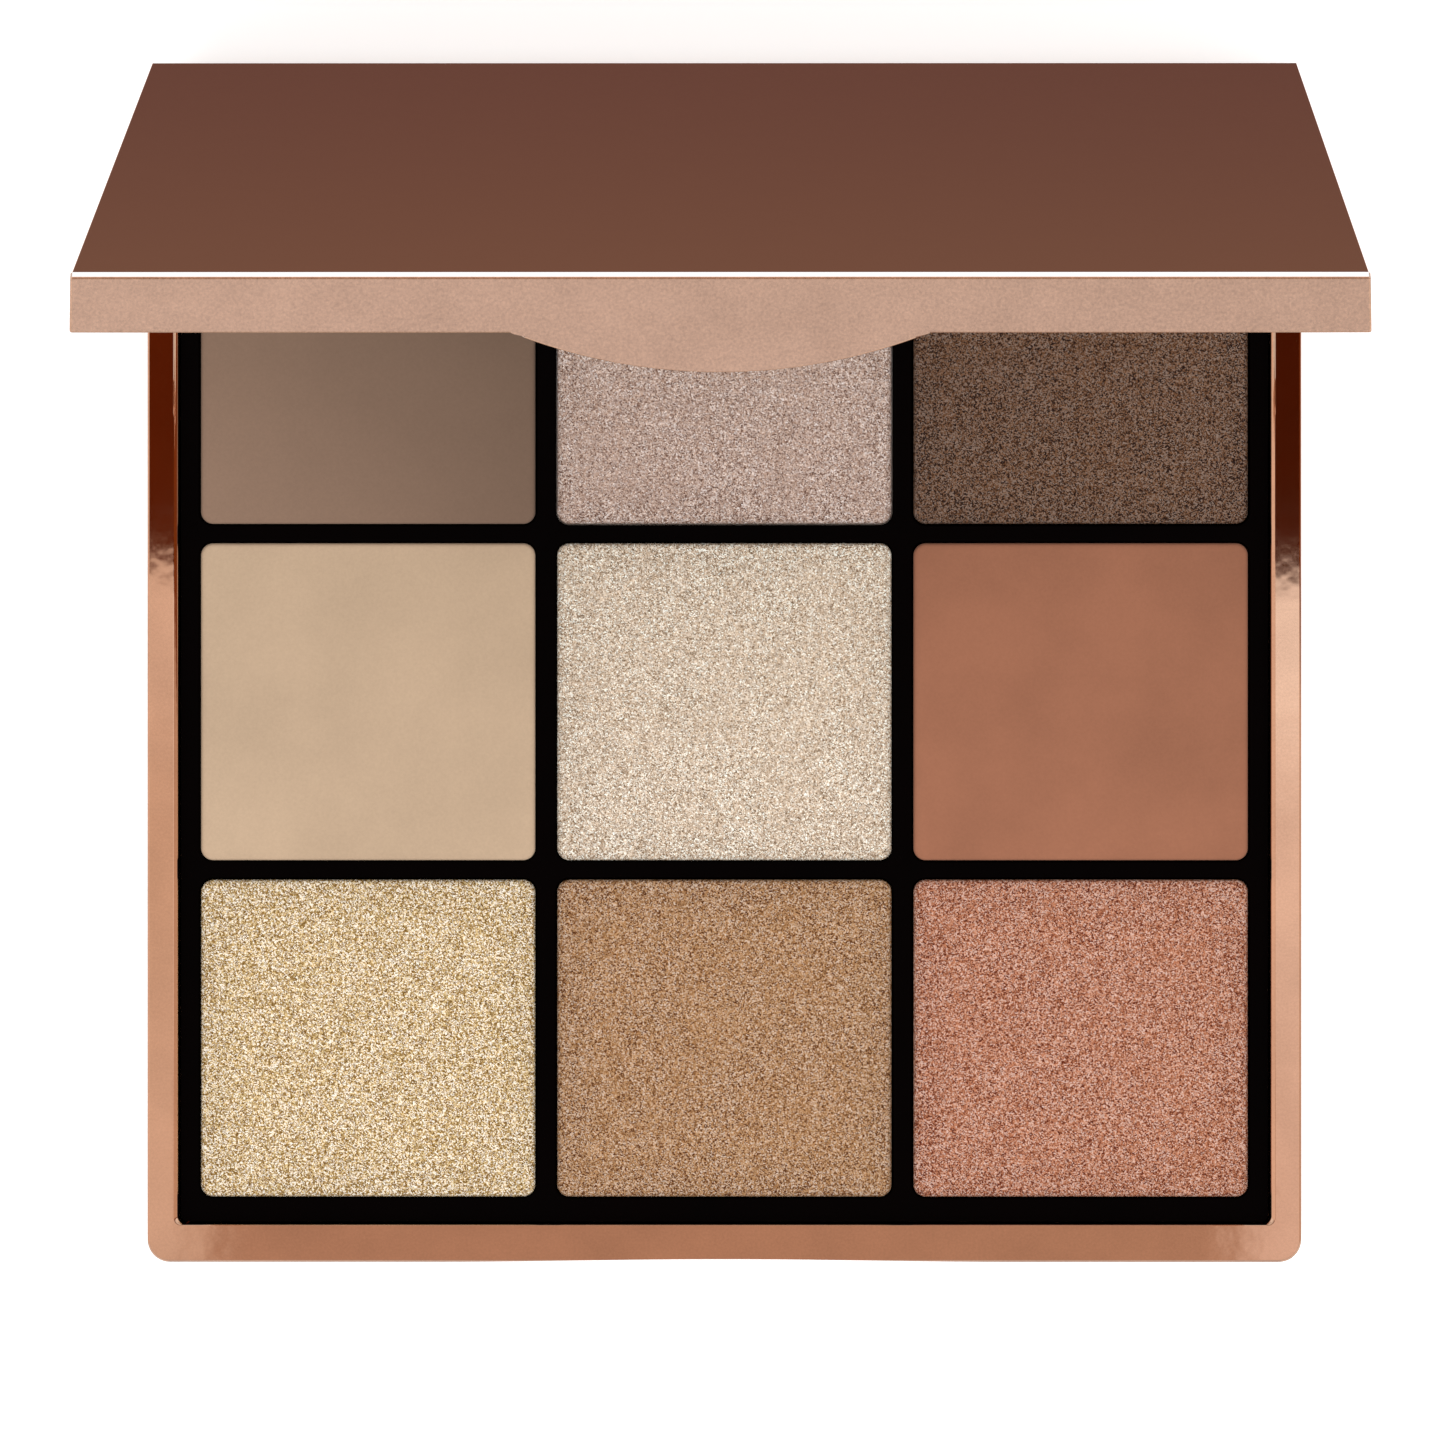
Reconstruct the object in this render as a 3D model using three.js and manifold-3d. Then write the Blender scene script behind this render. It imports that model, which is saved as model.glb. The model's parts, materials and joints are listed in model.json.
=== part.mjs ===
// Nine-pan eyeshadow palette: a rose-gold compact with a hinged mirror lid.
// Millimetres, +Z up. The base lies flat with the middle of its underside at the origin.
// The thumb lip faces -Y and the hinge runs along X near the back edge.
// The lid is built closed, then turned open about the hinge pins.

import * as THREE from 'three';
import { mergeVertices } from 'three/addons/utils/BufferGeometryUtils.js';
import Module from 'manifold-3d';

const wasm = await Module();
wasm.setup();

// ---- driving dimensions ----

const BASE_WIDTH = 90;
const BASE_DEPTH = 90;
const BASE_HEIGHT = 8;
const BASE_CORNER = 1.75;
const BASE_FLOOR = 1.5;
const EDGE_ROUNDING = 0.4;
const SIDE_RIM = 2.42;
const FRONT_RIM = 2.97;
const BACK_RIM = 5.56;
const OPENING_CORNER = 0.6;
const OPENING_CHAMFER = 0.4;

const TRAY_GAP = 0.15;
const TRAY_DROP = 0.9;
const TRAY_LIP = 1;
const CAKE_WIDTH = 26.1;
const CAKE_DEPTH = 24.75;
const CAKE_CORNER = 0.95;
const CAKE_RISE = 0.25;
const CAKE_EDGE = 0.3;
const WINDOW_GAP = 0.1;
const PITCH_X = 27.82;
const PITCH_Y = 26.27;
const PAN_WALL = 0.25;
const PAN_FLOOR = 0.3;
const PAN_GAP = 0.15;
const PAN_HEADROOM = 0.1;
const GLUE_THICKNESS = 0.2;
const GLUE_RADIUS = 9;

const LID_WIDTH = 89.75;
const LID_HEIGHT = 4.2;
const LID_CORNER = 0.9;
const LID_BACK_INSET = 0.1;
const LID_FRONT_LAP = 1.15;
const LID_PLATE = 1.2;
const LID_SIDE_WALL = 2.3;
const LID_FRONT_WALL = 2.4;
const LID_BACK_WALL = 4.4;
const PARTING_GAP = 0.2;
const MIRROR_THICKNESS = 1.3;
const MIRROR_SIDE_GAP = 0.2;
const MIRROR_TAPE_MARGIN = 4;
const MIRROR_TAPE_THICKNESS = 0.2;
const LID_PIECE_GAP = 0.1;

const LIP_CHORD = 28.9;
const LIP_DROP = 2.78;
const LIP_THICKNESS = 0.95;
const LIP_ROOT = 1;
const SCOOP_CHORD = 35;
const SCOOP_DEPTH = 0.22;
const BEAD_LENGTH = 8;
const BEAD_RADIUS = 0.45;
const BEAD_PROUD = 0.27;
const BEAD_DROP = 1.4;
const GROOVE_LENGTH = 9;
const GROOVE_RADIUS = 0.65;

const HINGE_INSET = 1.55;
const HINGE_DROP = 0.6;
const KNUCKLE_RADIUS = 1.35;
const LID_KNUCKLE_HALF = 30;
const KNUCKLE_SIDE_GAP = 0.3;
const EAR_END_INSET = 0.4;
const EAR_WEB_FRONT = 2.3;
const EAR_WEB_BACK = 0.8;
const TROUGH_RADIUS = 1.95;
const EAR_RELIEF_RADIUS = 1.65;
const PIN_RADIUS = 0.6;
const PIN_LENGTH = 23;
const PIN_END_INSET = 0.8;
const EAR_BORE_RADIUS = 0.65;
const LID_BORE_RADIUS = 0.75;
const STOP_GAP = 0.25;
const REST_OPENING = THREE.MathUtils.degToRad(76.9);
const STOP_OPENING = THREE.MathUtils.degToRad(130);

const LABEL_WIDTH = 60;
const LABEL_DEPTH = 26;
const LABEL_CORNER = 2;
const LABEL_Y = 21;
const LABEL_THICKNESS = 0.15;
const LABEL_RECESS = 0.3;
const LABEL_GAP = 0.3;

const CORNER_STEPS = 3;
const POCKET_STEPS = 2;
const ROUND_STEPS = 24;
const BORE_STEPS = 12;
const CUT_MARGIN = 1;

// ---- places worked out from them ----

const openingWidth = BASE_WIDTH - 2 * SIDE_RIM;
const openingDepth = BASE_DEPTH - FRONT_RIM - BACK_RIM;
const openingY = (FRONT_RIM - BACK_RIM) / 2;
const trayTop = BASE_HEIGHT - TRAY_DROP;
const panBottom = BASE_FLOOR + GLUE_THICKNESS;
const panTop = trayTop - TRAY_LIP - PAN_HEADROOM;
const pinY = BASE_DEPTH / 2 - HINGE_INSET;
const pinZ = BASE_HEIGHT - HINGE_DROP;
const lidRim = BASE_HEIGHT + PARTING_GAP;
const lidTop = lidRim + LID_HEIGHT;
const lidFront = -BASE_DEPTH / 2 - LID_FRONT_LAP;
const lidBack = BASE_DEPTH / 2 - LID_BACK_INSET;
const beadZ = lidRim - BEAD_DROP;
const earStart = LID_KNUCKLE_HALF + KNUCKLE_SIDE_GAP;
const earEnd = BASE_WIDTH / 2 - EAR_END_INSET;
const pinEnd = BASE_WIDTH / 2 - PIN_END_INSET;

const materials = {
  roseGold: { color: 0xc8936f, roughness: 0.3, metalness: 0.9 },
  blackPlastic: { color: 0x060404, roughness: 0.5, metalness: 0 },
  tinPlate: { color: 0xb9b7b2, roughness: 0.35, metalness: 1 },
  steel: { color: 0x9a9a98, roughness: 0.3, metalness: 1 },
  mirror: { color: 0xe8ecee, roughness: 0.02, metalness: 1 },
  tape: { color: 0xd8d4c8, roughness: 0.8, metalness: 0 },
  label: { color: 0xe9e4de, roughness: 0.6, metalness: 0 },
};

const rows = ['back', 'middle', 'front'];
const columns = ['left', 'centre', 'right'];
const shades = {
  back_left: { color: 0x86715f, roughness: 0.95, metalness: 0 },
  back_centre: { color: 0xb49c8f, roughness: 0.6, metalness: 0.3 },
  back_right: { color: 0x674e3f, roughness: 0.6, metalness: 0.3 },
  middle_left: { color: 0xc9ae91, roughness: 0.95, metalness: 0 },
  middle_centre: { color: 0xd3c0ab, roughness: 0.6, metalness: 0.3 },
  middle_right: { color: 0xa56d55, roughness: 0.95, metalness: 0 },
  front_left: { color: 0xd3ba93, roughness: 0.5, metalness: 0.4 },
  front_centre: { color: 0xad8767, roughness: 0.6, metalness: 0.3 },
  front_right: { color: 0xb67f69, roughness: 0.6, metalness: 0.3 },
};

// ---- geometry helpers ----

/** A rectangle with round corners, centred on the given point. */
function roundedRectangle(width, depth, radius, centreX = 0, centreY = 0) {
  const right = centreX + width / 2 - radius;
  const left = centreX - width / 2 + radius;
  const back = centreY + depth / 2 - radius;
  const front = centreY - depth / 2 + radius;
  const shape = new THREE.Shape();
  shape.absarc(right, back, radius, 0, Math.PI / 2);
  shape.absarc(left, back, radius, Math.PI / 2, Math.PI);
  shape.absarc(left, front, radius, Math.PI, 1.5 * Math.PI);
  shape.absarc(right, front, radius, 1.5 * Math.PI, 2 * Math.PI);
  return shape;
}

/** An upright extrusion of a plan outline between two heights, with both ends rounded by edge. */
function slab(outline, bottom, top, edge = 0, steps = CORNER_STEPS) {
  const geometry = new THREE.ExtrudeGeometry(outline, {
    depth: top - bottom - 2 * edge,
    curveSegments: steps,
    bevelEnabled: edge > 0,
    bevelThickness: edge,
    bevelSize: edge,
    bevelOffset: -edge,
    bevelSegments: 2,
  });
  return geometry.translate(0, 0, bottom + edge);
}

/** An extrusion along X of an outline drawn in the Y-Z plane, from one X to another. */
function barAlongX(outline, startX, endX) {
  const geometry = new THREE.ExtrudeGeometry(outline, {
    depth: endX - startX,
    curveSegments: CORNER_STEPS,
    bevelEnabled: false,
  });
  // Shape X becomes Y, shape Y becomes Z and the extrusion runs along X.
  geometry.rotateY(Math.PI / 2);
  geometry.rotateX(Math.PI / 2);
  return geometry.translate(startX, 0, 0);
}

/** A round bar along X. */
function rodAlongX(radius, startX, endX, centreY, centreZ, steps = ROUND_STEPS) {
  const geometry = new THREE.CylinderGeometry(radius, radius, endX - startX, steps);
  geometry.rotateZ(Math.PI / 2);
  return geometry.translate((startX + endX) / 2, centreY, centreZ);
}

/** An axis-aligned block given by its limits. */
function block(x0, x1, y0, y1, z0, z1) {
  const geometry = new THREE.BoxGeometry(x1 - x0, y1 - y0, z1 - z0);
  return geometry.translate((x0 + x1) / 2, (y0 + y1) / 2, (z0 + z1) / 2);
}

/** Turns a closed geometry into a solid that can be cut and joined. */
function solid(geometry) {
  const bare = geometry.clone();
  bare.deleteAttribute('normal');
  bare.deleteAttribute('uv');
  const merged = mergeVertices(bare, 1e-5);
  return new wasm.Manifold(new wasm.Mesh({
    numProp: 3,
    vertProperties: Float32Array.from(merged.attributes.position.array),
    triVerts: Uint32Array.from(merged.index.array),
  }));
}

/** Joins and cuts: the first geometry, plus every added one, minus every cut one. */
function carve(start, { add = [], cut = [] } = {}) {
  let result = solid(start);
  for (const geometry of add) result = result.add(solid(geometry));
  for (const geometry of cut) result = result.subtract(solid(geometry));
  return result;
}

/** Turns a finished solid back into a geometry for a mesh. */
function geometryOf(manifold) {
  const { vertProperties, triVerts } = manifold.getMesh();
  const geometry = new THREE.BufferGeometry();
  geometry.setAttribute('position', new THREE.BufferAttribute(vertProperties, 3));
  geometry.setIndex(new THREE.BufferAttribute(triVerts, 1));
  geometry.computeVertexNormals();
  return geometry;
}

function piece(name, geometry, finish) {
  const mesh = new THREE.Mesh(geometry, new THREE.MeshStandardMaterial(finish));
  mesh.name = name;
  return mesh;
}

// ---- hinge shapes shared by the base and the lid ----

/** The space behind and under the pin that the lid's back wall swings through. */
function swingClearance() {
  const reach = HINGE_INSET + CUT_MARGIN;
  const lidWallDistance = lidBack - pinY + STOP_GAP;
  const cos = Math.cos(STOP_OPENING);
  const sin = Math.sin(STOP_OPENING);
  const footY = lidWallDistance * cos;
  const footZ = -lidWallDistance * sin;
  const run = (reach - footY) / sin;
  const outline = new THREE.Shape([
    new THREE.Vector2(pinY + footY, pinZ + footZ),
    new THREE.Vector2(pinY + reach, pinZ + footZ + run * cos),
    new THREE.Vector2(pinY + reach, pinZ + HINGE_DROP + CUT_MARGIN),
    new THREE.Vector2(pinY, pinZ + HINGE_DROP + CUT_MARGIN),
  ]);
  const half = BASE_WIDTH / 2 + CUT_MARGIN;
  return barAlongX(outline, -half, half);
}

function eachSide(make) {
  return [-1, 1].map((side) => make(side));
}

/** The two X limits of a stretch mirrored to the left side when side is -1. */
function stretch(side, inner, outer) {
  return side < 0 ? [-outer, -inner] : [inner, outer];
}

// ---- base ----

/** Shallow hollow down the middle of the front wall, behind the thumb lip. */
function frontScoop() {
  const radius = (SCOOP_CHORD ** 2 / 4 + SCOOP_DEPTH ** 2) / (2 * SCOOP_DEPTH);
  const halfAngle = Math.asin(SCOOP_CHORD / 2 / radius);
  const frontFace = -BASE_DEPTH / 2;
  const centreY = frontFace + SCOOP_DEPTH - radius;
  const outline = new THREE.Shape();
  outline.absarc(0, centreY, radius, Math.PI / 2 - halfAngle, Math.PI / 2 + halfAngle);
  outline.lineTo(-SCOOP_CHORD / 2, frontFace - CUT_MARGIN);
  outline.lineTo(SCOOP_CHORD / 2, frontFace - CUT_MARGIN);
  return slab(outline, -CUT_MARGIN, BASE_HEIGHT + CUT_MARGIN);
}

function baseShell() {
  const body = slab(
    roundedRectangle(BASE_WIDTH, BASE_DEPTH, BASE_CORNER), 0, BASE_HEIGHT, EDGE_ROUNDING);
  const opening = slab(
    roundedRectangle(openingWidth, openingDepth, OPENING_CORNER, 0, openingY),
    BASE_FLOOR, BASE_HEIGHT + CUT_MARGIN);
  const chamferOutline = roundedRectangle(
    openingWidth + 2 * OPENING_CHAMFER, openingDepth + 2 * OPENING_CHAMFER,
    OPENING_CORNER + OPENING_CHAMFER, 0, openingY);
  const chamfer = new THREE.ExtrudeGeometry(chamferOutline, {
    depth: CUT_MARGIN,
    curveSegments: CORNER_STEPS,
    bevelThickness: OPENING_CHAMFER,
    bevelSize: OPENING_CHAMFER,
    bevelOffset: -OPENING_CHAMFER,
    bevelSegments: 1,
  }).translate(0, 0, BASE_HEIGHT);
  const labelRecess = slab(
    roundedRectangle(
      LABEL_WIDTH + 2 * LABEL_GAP, LABEL_DEPTH + 2 * LABEL_GAP, LABEL_CORNER, 0, LABEL_Y),
    -CUT_MARGIN, LABEL_RECESS);
  const frontFace = -BASE_DEPTH / 2 + SCOOP_DEPTH;
  const groove = rodAlongX(
    GROOVE_RADIUS, -GROOVE_LENGTH / 2, GROOVE_LENGTH / 2, frontFace - EDGE_ROUNDING / 2, beadZ,
    BORE_STEPS);
  const half = BASE_WIDTH / 2 + CUT_MARGIN;
  const trough = rodAlongX(TROUGH_RADIUS, -half, half, pinY, pinZ);
  const shell = carve(body, {
    cut: [opening, chamfer, labelRecess, frontScoop(), groove, trough, swingClearance()],
  });
  const ears = eachSide((side) => {
    const [x0, x1] = stretch(side, earStart, earEnd);
    const knuckle = rodAlongX(KNUCKLE_RADIUS, x0, x1, pinY, pinZ);
    const web = block(
      x0, x1, pinY - EAR_WEB_FRONT, pinY - EAR_WEB_BACK, pinZ - EAR_WEB_FRONT, BASE_HEIGHT);
    const bore = rodAlongX(
      EAR_BORE_RADIUS, x0 - CUT_MARGIN, x1 + CUT_MARGIN, pinY, pinZ, BORE_STEPS);
    return carve(knuckle, { add: [web], cut: [bore] });
  });
  return geometryOf(ears.reduce((whole, ear) => whole.add(ear), shell));
}

// ---- tray, pans and pressed powder ----

const pockets = rows.flatMap((row, rowIndex) => columns.map((column, columnIndex) => ({
  name: `${row}_${column}`,
  x: (columnIndex - 1) * PITCH_X,
  y: openingY + (1 - rowIndex) * PITCH_Y,
})));

/** A slab with the cake's plan outline, grown by the given margin all round. */
function cakeSlab(x, y, margin, bottom, top, edge = 0) {
  const outline = roundedRectangle(
    CAKE_WIDTH + 2 * margin, CAKE_DEPTH + 2 * margin, CAKE_CORNER + margin, x, y);
  return slab(outline, bottom, top, edge, POCKET_STEPS);
}

function panTray() {
  const body = slab(
    roundedRectangle(
      openingWidth - 2 * TRAY_GAP, openingDepth - 2 * TRAY_GAP, OPENING_CORNER, 0, openingY),
    BASE_FLOOR, trayTop);
  const cut = pockets.flatMap(({ x, y }) => [
    cakeSlab(x, y, WINDOW_GAP, BASE_FLOOR, trayTop + CUT_MARGIN),
    cakeSlab(x, y, PAN_WALL + PAN_GAP, BASE_FLOOR - CUT_MARGIN, trayTop - TRAY_LIP),
  ]);
  return geometryOf(carve(body, { cut }));
}

function pan(x, y) {
  const outside = cakeSlab(x, y, PAN_WALL, panBottom, panTop);
  const inside = cakeSlab(x, y, 0, panBottom + PAN_FLOOR, panTop + CUT_MARGIN);
  return geometryOf(carve(outside, { cut: [inside] }));
}

/** Pressed cake: square at the bottom of its pan, with a soft edge round the top. */
function cake(x, y) {
  const bottom = panBottom + PAN_FLOOR;
  const soft = cakeSlab(x, y, 0, bottom - CUT_MARGIN, trayTop + CAKE_RISE, CAKE_EDGE);
  const below = block(
    x - PITCH_X / 2, x + PITCH_X / 2, y - PITCH_Y / 2, y + PITCH_Y / 2,
    bottom - 2 * CUT_MARGIN, bottom);
  return geometryOf(carve(soft, { cut: [below] }));
}

function glueDot(x, y) {
  const dot = new THREE.CylinderGeometry(GLUE_RADIUS, GLUE_RADIUS, GLUE_THICKNESS, BORE_STEPS);
  dot.rotateX(Math.PI / 2);
  return dot.translate(x, y, BASE_FLOOR + GLUE_THICKNESS / 2);
}

// ---- lid, in its closed place ----

/** Curved tongue that hangs from the front wall and laps the base. */
function thumbLip() {
  const radius = (LIP_CHORD ** 2 / 4 + LIP_DROP ** 2) / (2 * LIP_DROP);
  const halfAngle = Math.asin(LIP_CHORD / 2 / radius);
  const outline = new THREE.Shape();
  outline.absarc(
    0, lidRim - LIP_DROP + radius, radius,
    1.5 * Math.PI - halfAngle, 1.5 * Math.PI + halfAngle);
  outline.lineTo(LIP_CHORD / 2, lidRim + LIP_ROOT);
  outline.lineTo(-LIP_CHORD / 2, lidRim + LIP_ROOT);
  const geometry = new THREE.ExtrudeGeometry(outline, {
    depth: LIP_THICKNESS,
    curveSegments: 2 * CORNER_STEPS,
    bevelEnabled: false,
  });
  geometry.rotateX(Math.PI / 2);
  return geometry.translate(0, lidFront + LIP_THICKNESS, 0);
}

function lidShell() {
  const lidDepth = lidBack - lidFront;
  const lidY = (lidBack + lidFront) / 2;
  const body = slab(
    roundedRectangle(LID_WIDTH, lidDepth, LID_CORNER, 0, lidY),
    lidRim - 2 * CUT_MARGIN, lidTop, EDGE_ROUNDING);
  const half = BASE_WIDTH / 2 + CUT_MARGIN;
  const below = block(
    -half, half, lidFront - CUT_MARGIN, lidBack + CUT_MARGIN, lidRim - 3 * CUT_MARGIN, lidRim);
  const { width, depth, y } = mirrorRecess();
  const recess = slab(
    roundedRectangle(width, depth, OPENING_CORNER, 0, y),
    lidRim - CUT_MARGIN, lidTop - LID_PLATE);
  const earReliefs = eachSide((side) => {
    const [x0, x1] = stretch(side, LID_KNUCKLE_HALF + KNUCKLE_SIDE_GAP / 2, half);
    return rodAlongX(EAR_RELIEF_RADIUS, x0, x1, pinY, pinZ);
  });
  const shell = carve(body, { cut: [below, recess, ...earReliefs] });
  const knuckle = rodAlongX(
    KNUCKLE_RADIUS, -LID_KNUCKLE_HALF, LID_KNUCKLE_HALF, pinY, pinZ);
  const bores = eachSide((side) => {
    const inner = pinEnd - PIN_LENGTH - PIN_END_INSET / 2;
    const [x0, x1] = stretch(side, inner, LID_KNUCKLE_HALF + CUT_MARGIN);
    return rodAlongX(LID_BORE_RADIUS, x0, x1, pinY, pinZ, BORE_STEPS);
  });
  const lipInner = lidFront + LIP_THICKNESS;
  const bead = rodAlongX(
    BEAD_RADIUS, -BEAD_LENGTH / 2, BEAD_LENGTH / 2, lipInner + BEAD_PROUD - BEAD_RADIUS, beadZ,
    BORE_STEPS);
  const additions = carve(knuckle, { cut: bores });
  const lip = carve(thumbLip(), { add: [bead] });
  return geometryOf(shell.add(additions).add(lip));
}

/** The pocket inside the lid that takes the mirror. */
function mirrorRecess() {
  const front = lidFront + LID_FRONT_WALL;
  const back = lidBack - LID_BACK_WALL;
  return {
    width: LID_WIDTH - 2 * LID_SIDE_WALL,
    depth: back - front,
    y: (front + back) / 2,
  };
}

function mirrorTape() {
  const { width, depth, y } = mirrorRecess();
  const top = lidTop - LID_PLATE - LID_PIECE_GAP;
  return slab(
    roundedRectangle(
      width - 2 * MIRROR_TAPE_MARGIN, depth - 2 * MIRROR_TAPE_MARGIN, OPENING_CORNER, 0, y),
    top - MIRROR_TAPE_THICKNESS, top);
}

function mirrorPlate() {
  const { width, depth, y } = mirrorRecess();
  const top = lidTop - LID_PLATE - 2 * LID_PIECE_GAP - MIRROR_TAPE_THICKNESS;
  return slab(
    roundedRectangle(
      width - 2 * MIRROR_SIDE_GAP, depth - 2 * MIRROR_SIDE_GAP, OPENING_CORNER, 0, y),
    top - MIRROR_THICKNESS, top);
}

function hingePin(side) {
  const [x0, x1] = stretch(side, pinEnd - PIN_LENGTH, pinEnd);
  return rodAlongX(PIN_RADIUS, x0, x1, pinY, pinZ, BORE_STEPS);
}

function undersideLabel() {
  return slab(
    roundedRectangle(LABEL_WIDTH, LABEL_DEPTH, LABEL_CORNER, 0, LABEL_Y),
    LABEL_RECESS - LABEL_THICKNESS, LABEL_RECESS);
}

// ---- assembly ----

const palette = new THREE.Group();
palette.add(piece('base_shell', baseShell(), materials.roseGold));
palette.add(piece('pan_tray', panTray(), materials.blackPlastic));
for (const { name, x, y } of pockets) {
  palette.add(piece(`glue_dot_${name}`, glueDot(x, y), materials.tape));
  palette.add(piece(`pan_${name}`, pan(x, y), materials.tinPlate));
  palette.add(piece(`shadow_${name}`, cake(x, y), shades[name]));
}
palette.add(piece('hinge_pin_left', hingePin(-1), materials.steel));
palette.add(piece('hinge_pin_right', hingePin(1), materials.steel));
palette.add(piece('underside_label', undersideLabel(), materials.label));

// The turning group has its origin on the pin axis; the lid pieces keep their closed places in it.
const lid = new THREE.Group();
lid.position.set(0, pinY, pinZ);
lid.rotation.x = -REST_OPENING;
const lidPieces = [
  piece('lid_shell', lidShell(), materials.roseGold),
  piece('mirror_tape', mirrorTape(), materials.tape),
  piece('mirror', mirrorPlate(), materials.mirror),
];
for (const lidPiece of lidPieces) {
  lidPiece.position.set(0, -pinY, -pinZ);
  lid.add(lidPiece);
}
palette.add(lid);

export default palette;
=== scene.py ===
"""Eyeshadow palette: the finished shells, tray, powder cakes, mirror and hinge, and their studio.

The file is laid out as an add-on and is run as a script. Each operator makes one piece or one
group of like pieces round the packed frame, in metres, +Z up, with the hinge towards +Y.
"""

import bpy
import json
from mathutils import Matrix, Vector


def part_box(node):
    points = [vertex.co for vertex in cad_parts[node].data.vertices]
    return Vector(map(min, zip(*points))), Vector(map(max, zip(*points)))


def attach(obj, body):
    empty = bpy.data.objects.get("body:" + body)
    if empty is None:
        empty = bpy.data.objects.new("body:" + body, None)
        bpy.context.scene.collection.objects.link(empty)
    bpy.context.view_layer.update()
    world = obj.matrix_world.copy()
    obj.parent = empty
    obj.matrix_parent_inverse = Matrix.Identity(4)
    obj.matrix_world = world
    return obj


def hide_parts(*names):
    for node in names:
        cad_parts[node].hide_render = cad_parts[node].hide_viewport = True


bl_info = {
    "name": "Eyeshadow palette",
    "version": (1, 0, 0),
    "blender": (4, 5, 0),
    "location": "3D View > Sidebar > Palette",
    "description": "Builds a nine-pan eyeshadow palette with a hinged mirror lid",
    "category": "Add Mesh",
}

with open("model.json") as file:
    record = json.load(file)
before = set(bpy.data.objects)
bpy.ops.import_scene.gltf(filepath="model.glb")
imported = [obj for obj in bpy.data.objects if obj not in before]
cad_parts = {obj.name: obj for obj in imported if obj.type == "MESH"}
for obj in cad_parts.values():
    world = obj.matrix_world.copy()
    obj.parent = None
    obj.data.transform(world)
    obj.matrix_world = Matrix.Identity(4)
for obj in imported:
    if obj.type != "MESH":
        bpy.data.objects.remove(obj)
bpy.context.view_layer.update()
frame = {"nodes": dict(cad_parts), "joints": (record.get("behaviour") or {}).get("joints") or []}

import json
import math

import bmesh
import bpy
from bpy.props import FloatProperty, FloatVectorProperty, IntProperty, PointerProperty
from mathutils import Matrix, Vector, noise

MM = 0.001
ROWS = ("back", "middle", "front")
COLUMNS = ("left", "centre", "right")
POCKETS = tuple(f"{row}_{column}" for row in ROWS for column in COLUMNS)

# The label's corner and the gap round it.
LABEL_CORNER = 2 * MM
LABEL_GAP = 0.3 * MM

# The lid's wall, and the snap bead on its lip with the groove in the base.
LID_WALL = 4.2 * MM
CATCH_DEPTH = 5.6 * MM
GROOVE_RADIUS = 0.65 * MM
GROOVE_HALF = 4.5 * MM
GROOVE_SINK = 0.02 * MM
BEAD_RADIUS = 0.45 * MM
BEAD_HALF = 4 * MM
BEAD_CHAMFER = 0.2 * MM
BEAD_SINK = 0.18 * MM

# The hinge: knuckle ends, the base's ears and the lid's clearance round them, and the pins.
KNUCKLE_CHAMFER = 0.12 * MM
EAR_GAP = 0.3 * MM
EAR_END = 0.4 * MM
EAR_WEB_DEPTH = 2.3 * MM
EAR_WEB_FRONT = 0.8 * MM
EAR_TROUGH = 1.65 * MM
EAR_TROUGH_GAP = 0.15 * MM
PIN_INNER_END = 20.8 * MM
PIN_END_GAP = 0.1 * MM
PIN_PLAY = 0.07 * MM
SWING_GAP = 0.25 * MM

# The mirror's recess, the tray's corners, the cakes' depth under their CAD tops, and how far a
# cutting tool stands out of the piece it cuts.
MIRROR_GAP = 0.2 * MM
RECESS_CORNER = 0.8 * MM
RECESS_ROUND = 0.3 * MM
TRAY_CORNER = 0.5 * MM
CAKE_SINK = 0.03 * MM
OVERCUT = 1 * MM

hinge = frame["joints"][0]
HINGE_POINT = Vector(hinge["pos_m"])
HINGE_AXIS = Vector(hinge["axis"])
CLOSED_ANGLE = math.radians(hinge["range_deg"][0])
STOP_ANGLE = math.radians(hinge["range_deg"][1])


# ---------------------------------------------------------------- places from the frame

def turned(angle):
    """The lid's turn about the hinge by an angle from rest."""
    there = Matrix.Translation(HINGE_POINT)
    return there @ Matrix.Rotation(angle, 4, HINGE_AXIS) @ there.inverted()


def closed_box(node):
    """Lowest and highest corner that a lid node has when the lid is shut."""
    shut = turned(CLOSED_ANGLE)
    corners = [shut @ vertex.co for vertex in frame["nodes"][node].data.vertices]
    low = Vector(min(c[axis] for c in corners) for axis in range(3))
    high = Vector(max(c[axis] for c in corners) for axis in range(3))
    return low, high


def catch_height():
    """Height of the lid's snap bead, and of its groove in the base, when the lid is shut."""
    return closed_box("lid_shell")[1].z - CATCH_DEPTH


def grown(low, high, margin):
    """A box grown in plan, and not in height."""
    step = Vector((margin, margin, 0))
    return low - step, high + step


# ---------------------------------------------------------------- user's sizes and colours

def length(name, description, millimetres):
    return FloatProperty(
        name=name, description=description, default=millimetres * MM, min=0.0,
        subtype="DISTANCE", unit="LENGTH", precision=5)


def colour(name, description, hex_code):
    return FloatVectorProperty(
        name=name, description=description, default=linear(hex_code), size=3, min=0.0, max=1.0,
        subtype="COLOR")


def linear(hex_code):
    """Scene-linear values of a screen colour written as RRGGBB."""
    parts = [int(hex_code[i:i + 2], 16) / 255 for i in (0, 2, 4)]
    return tuple(p / 12.92 if p <= 0.04045 else ((p + 0.055) / 1.055) ** 2.4 for p in parts)


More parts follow.
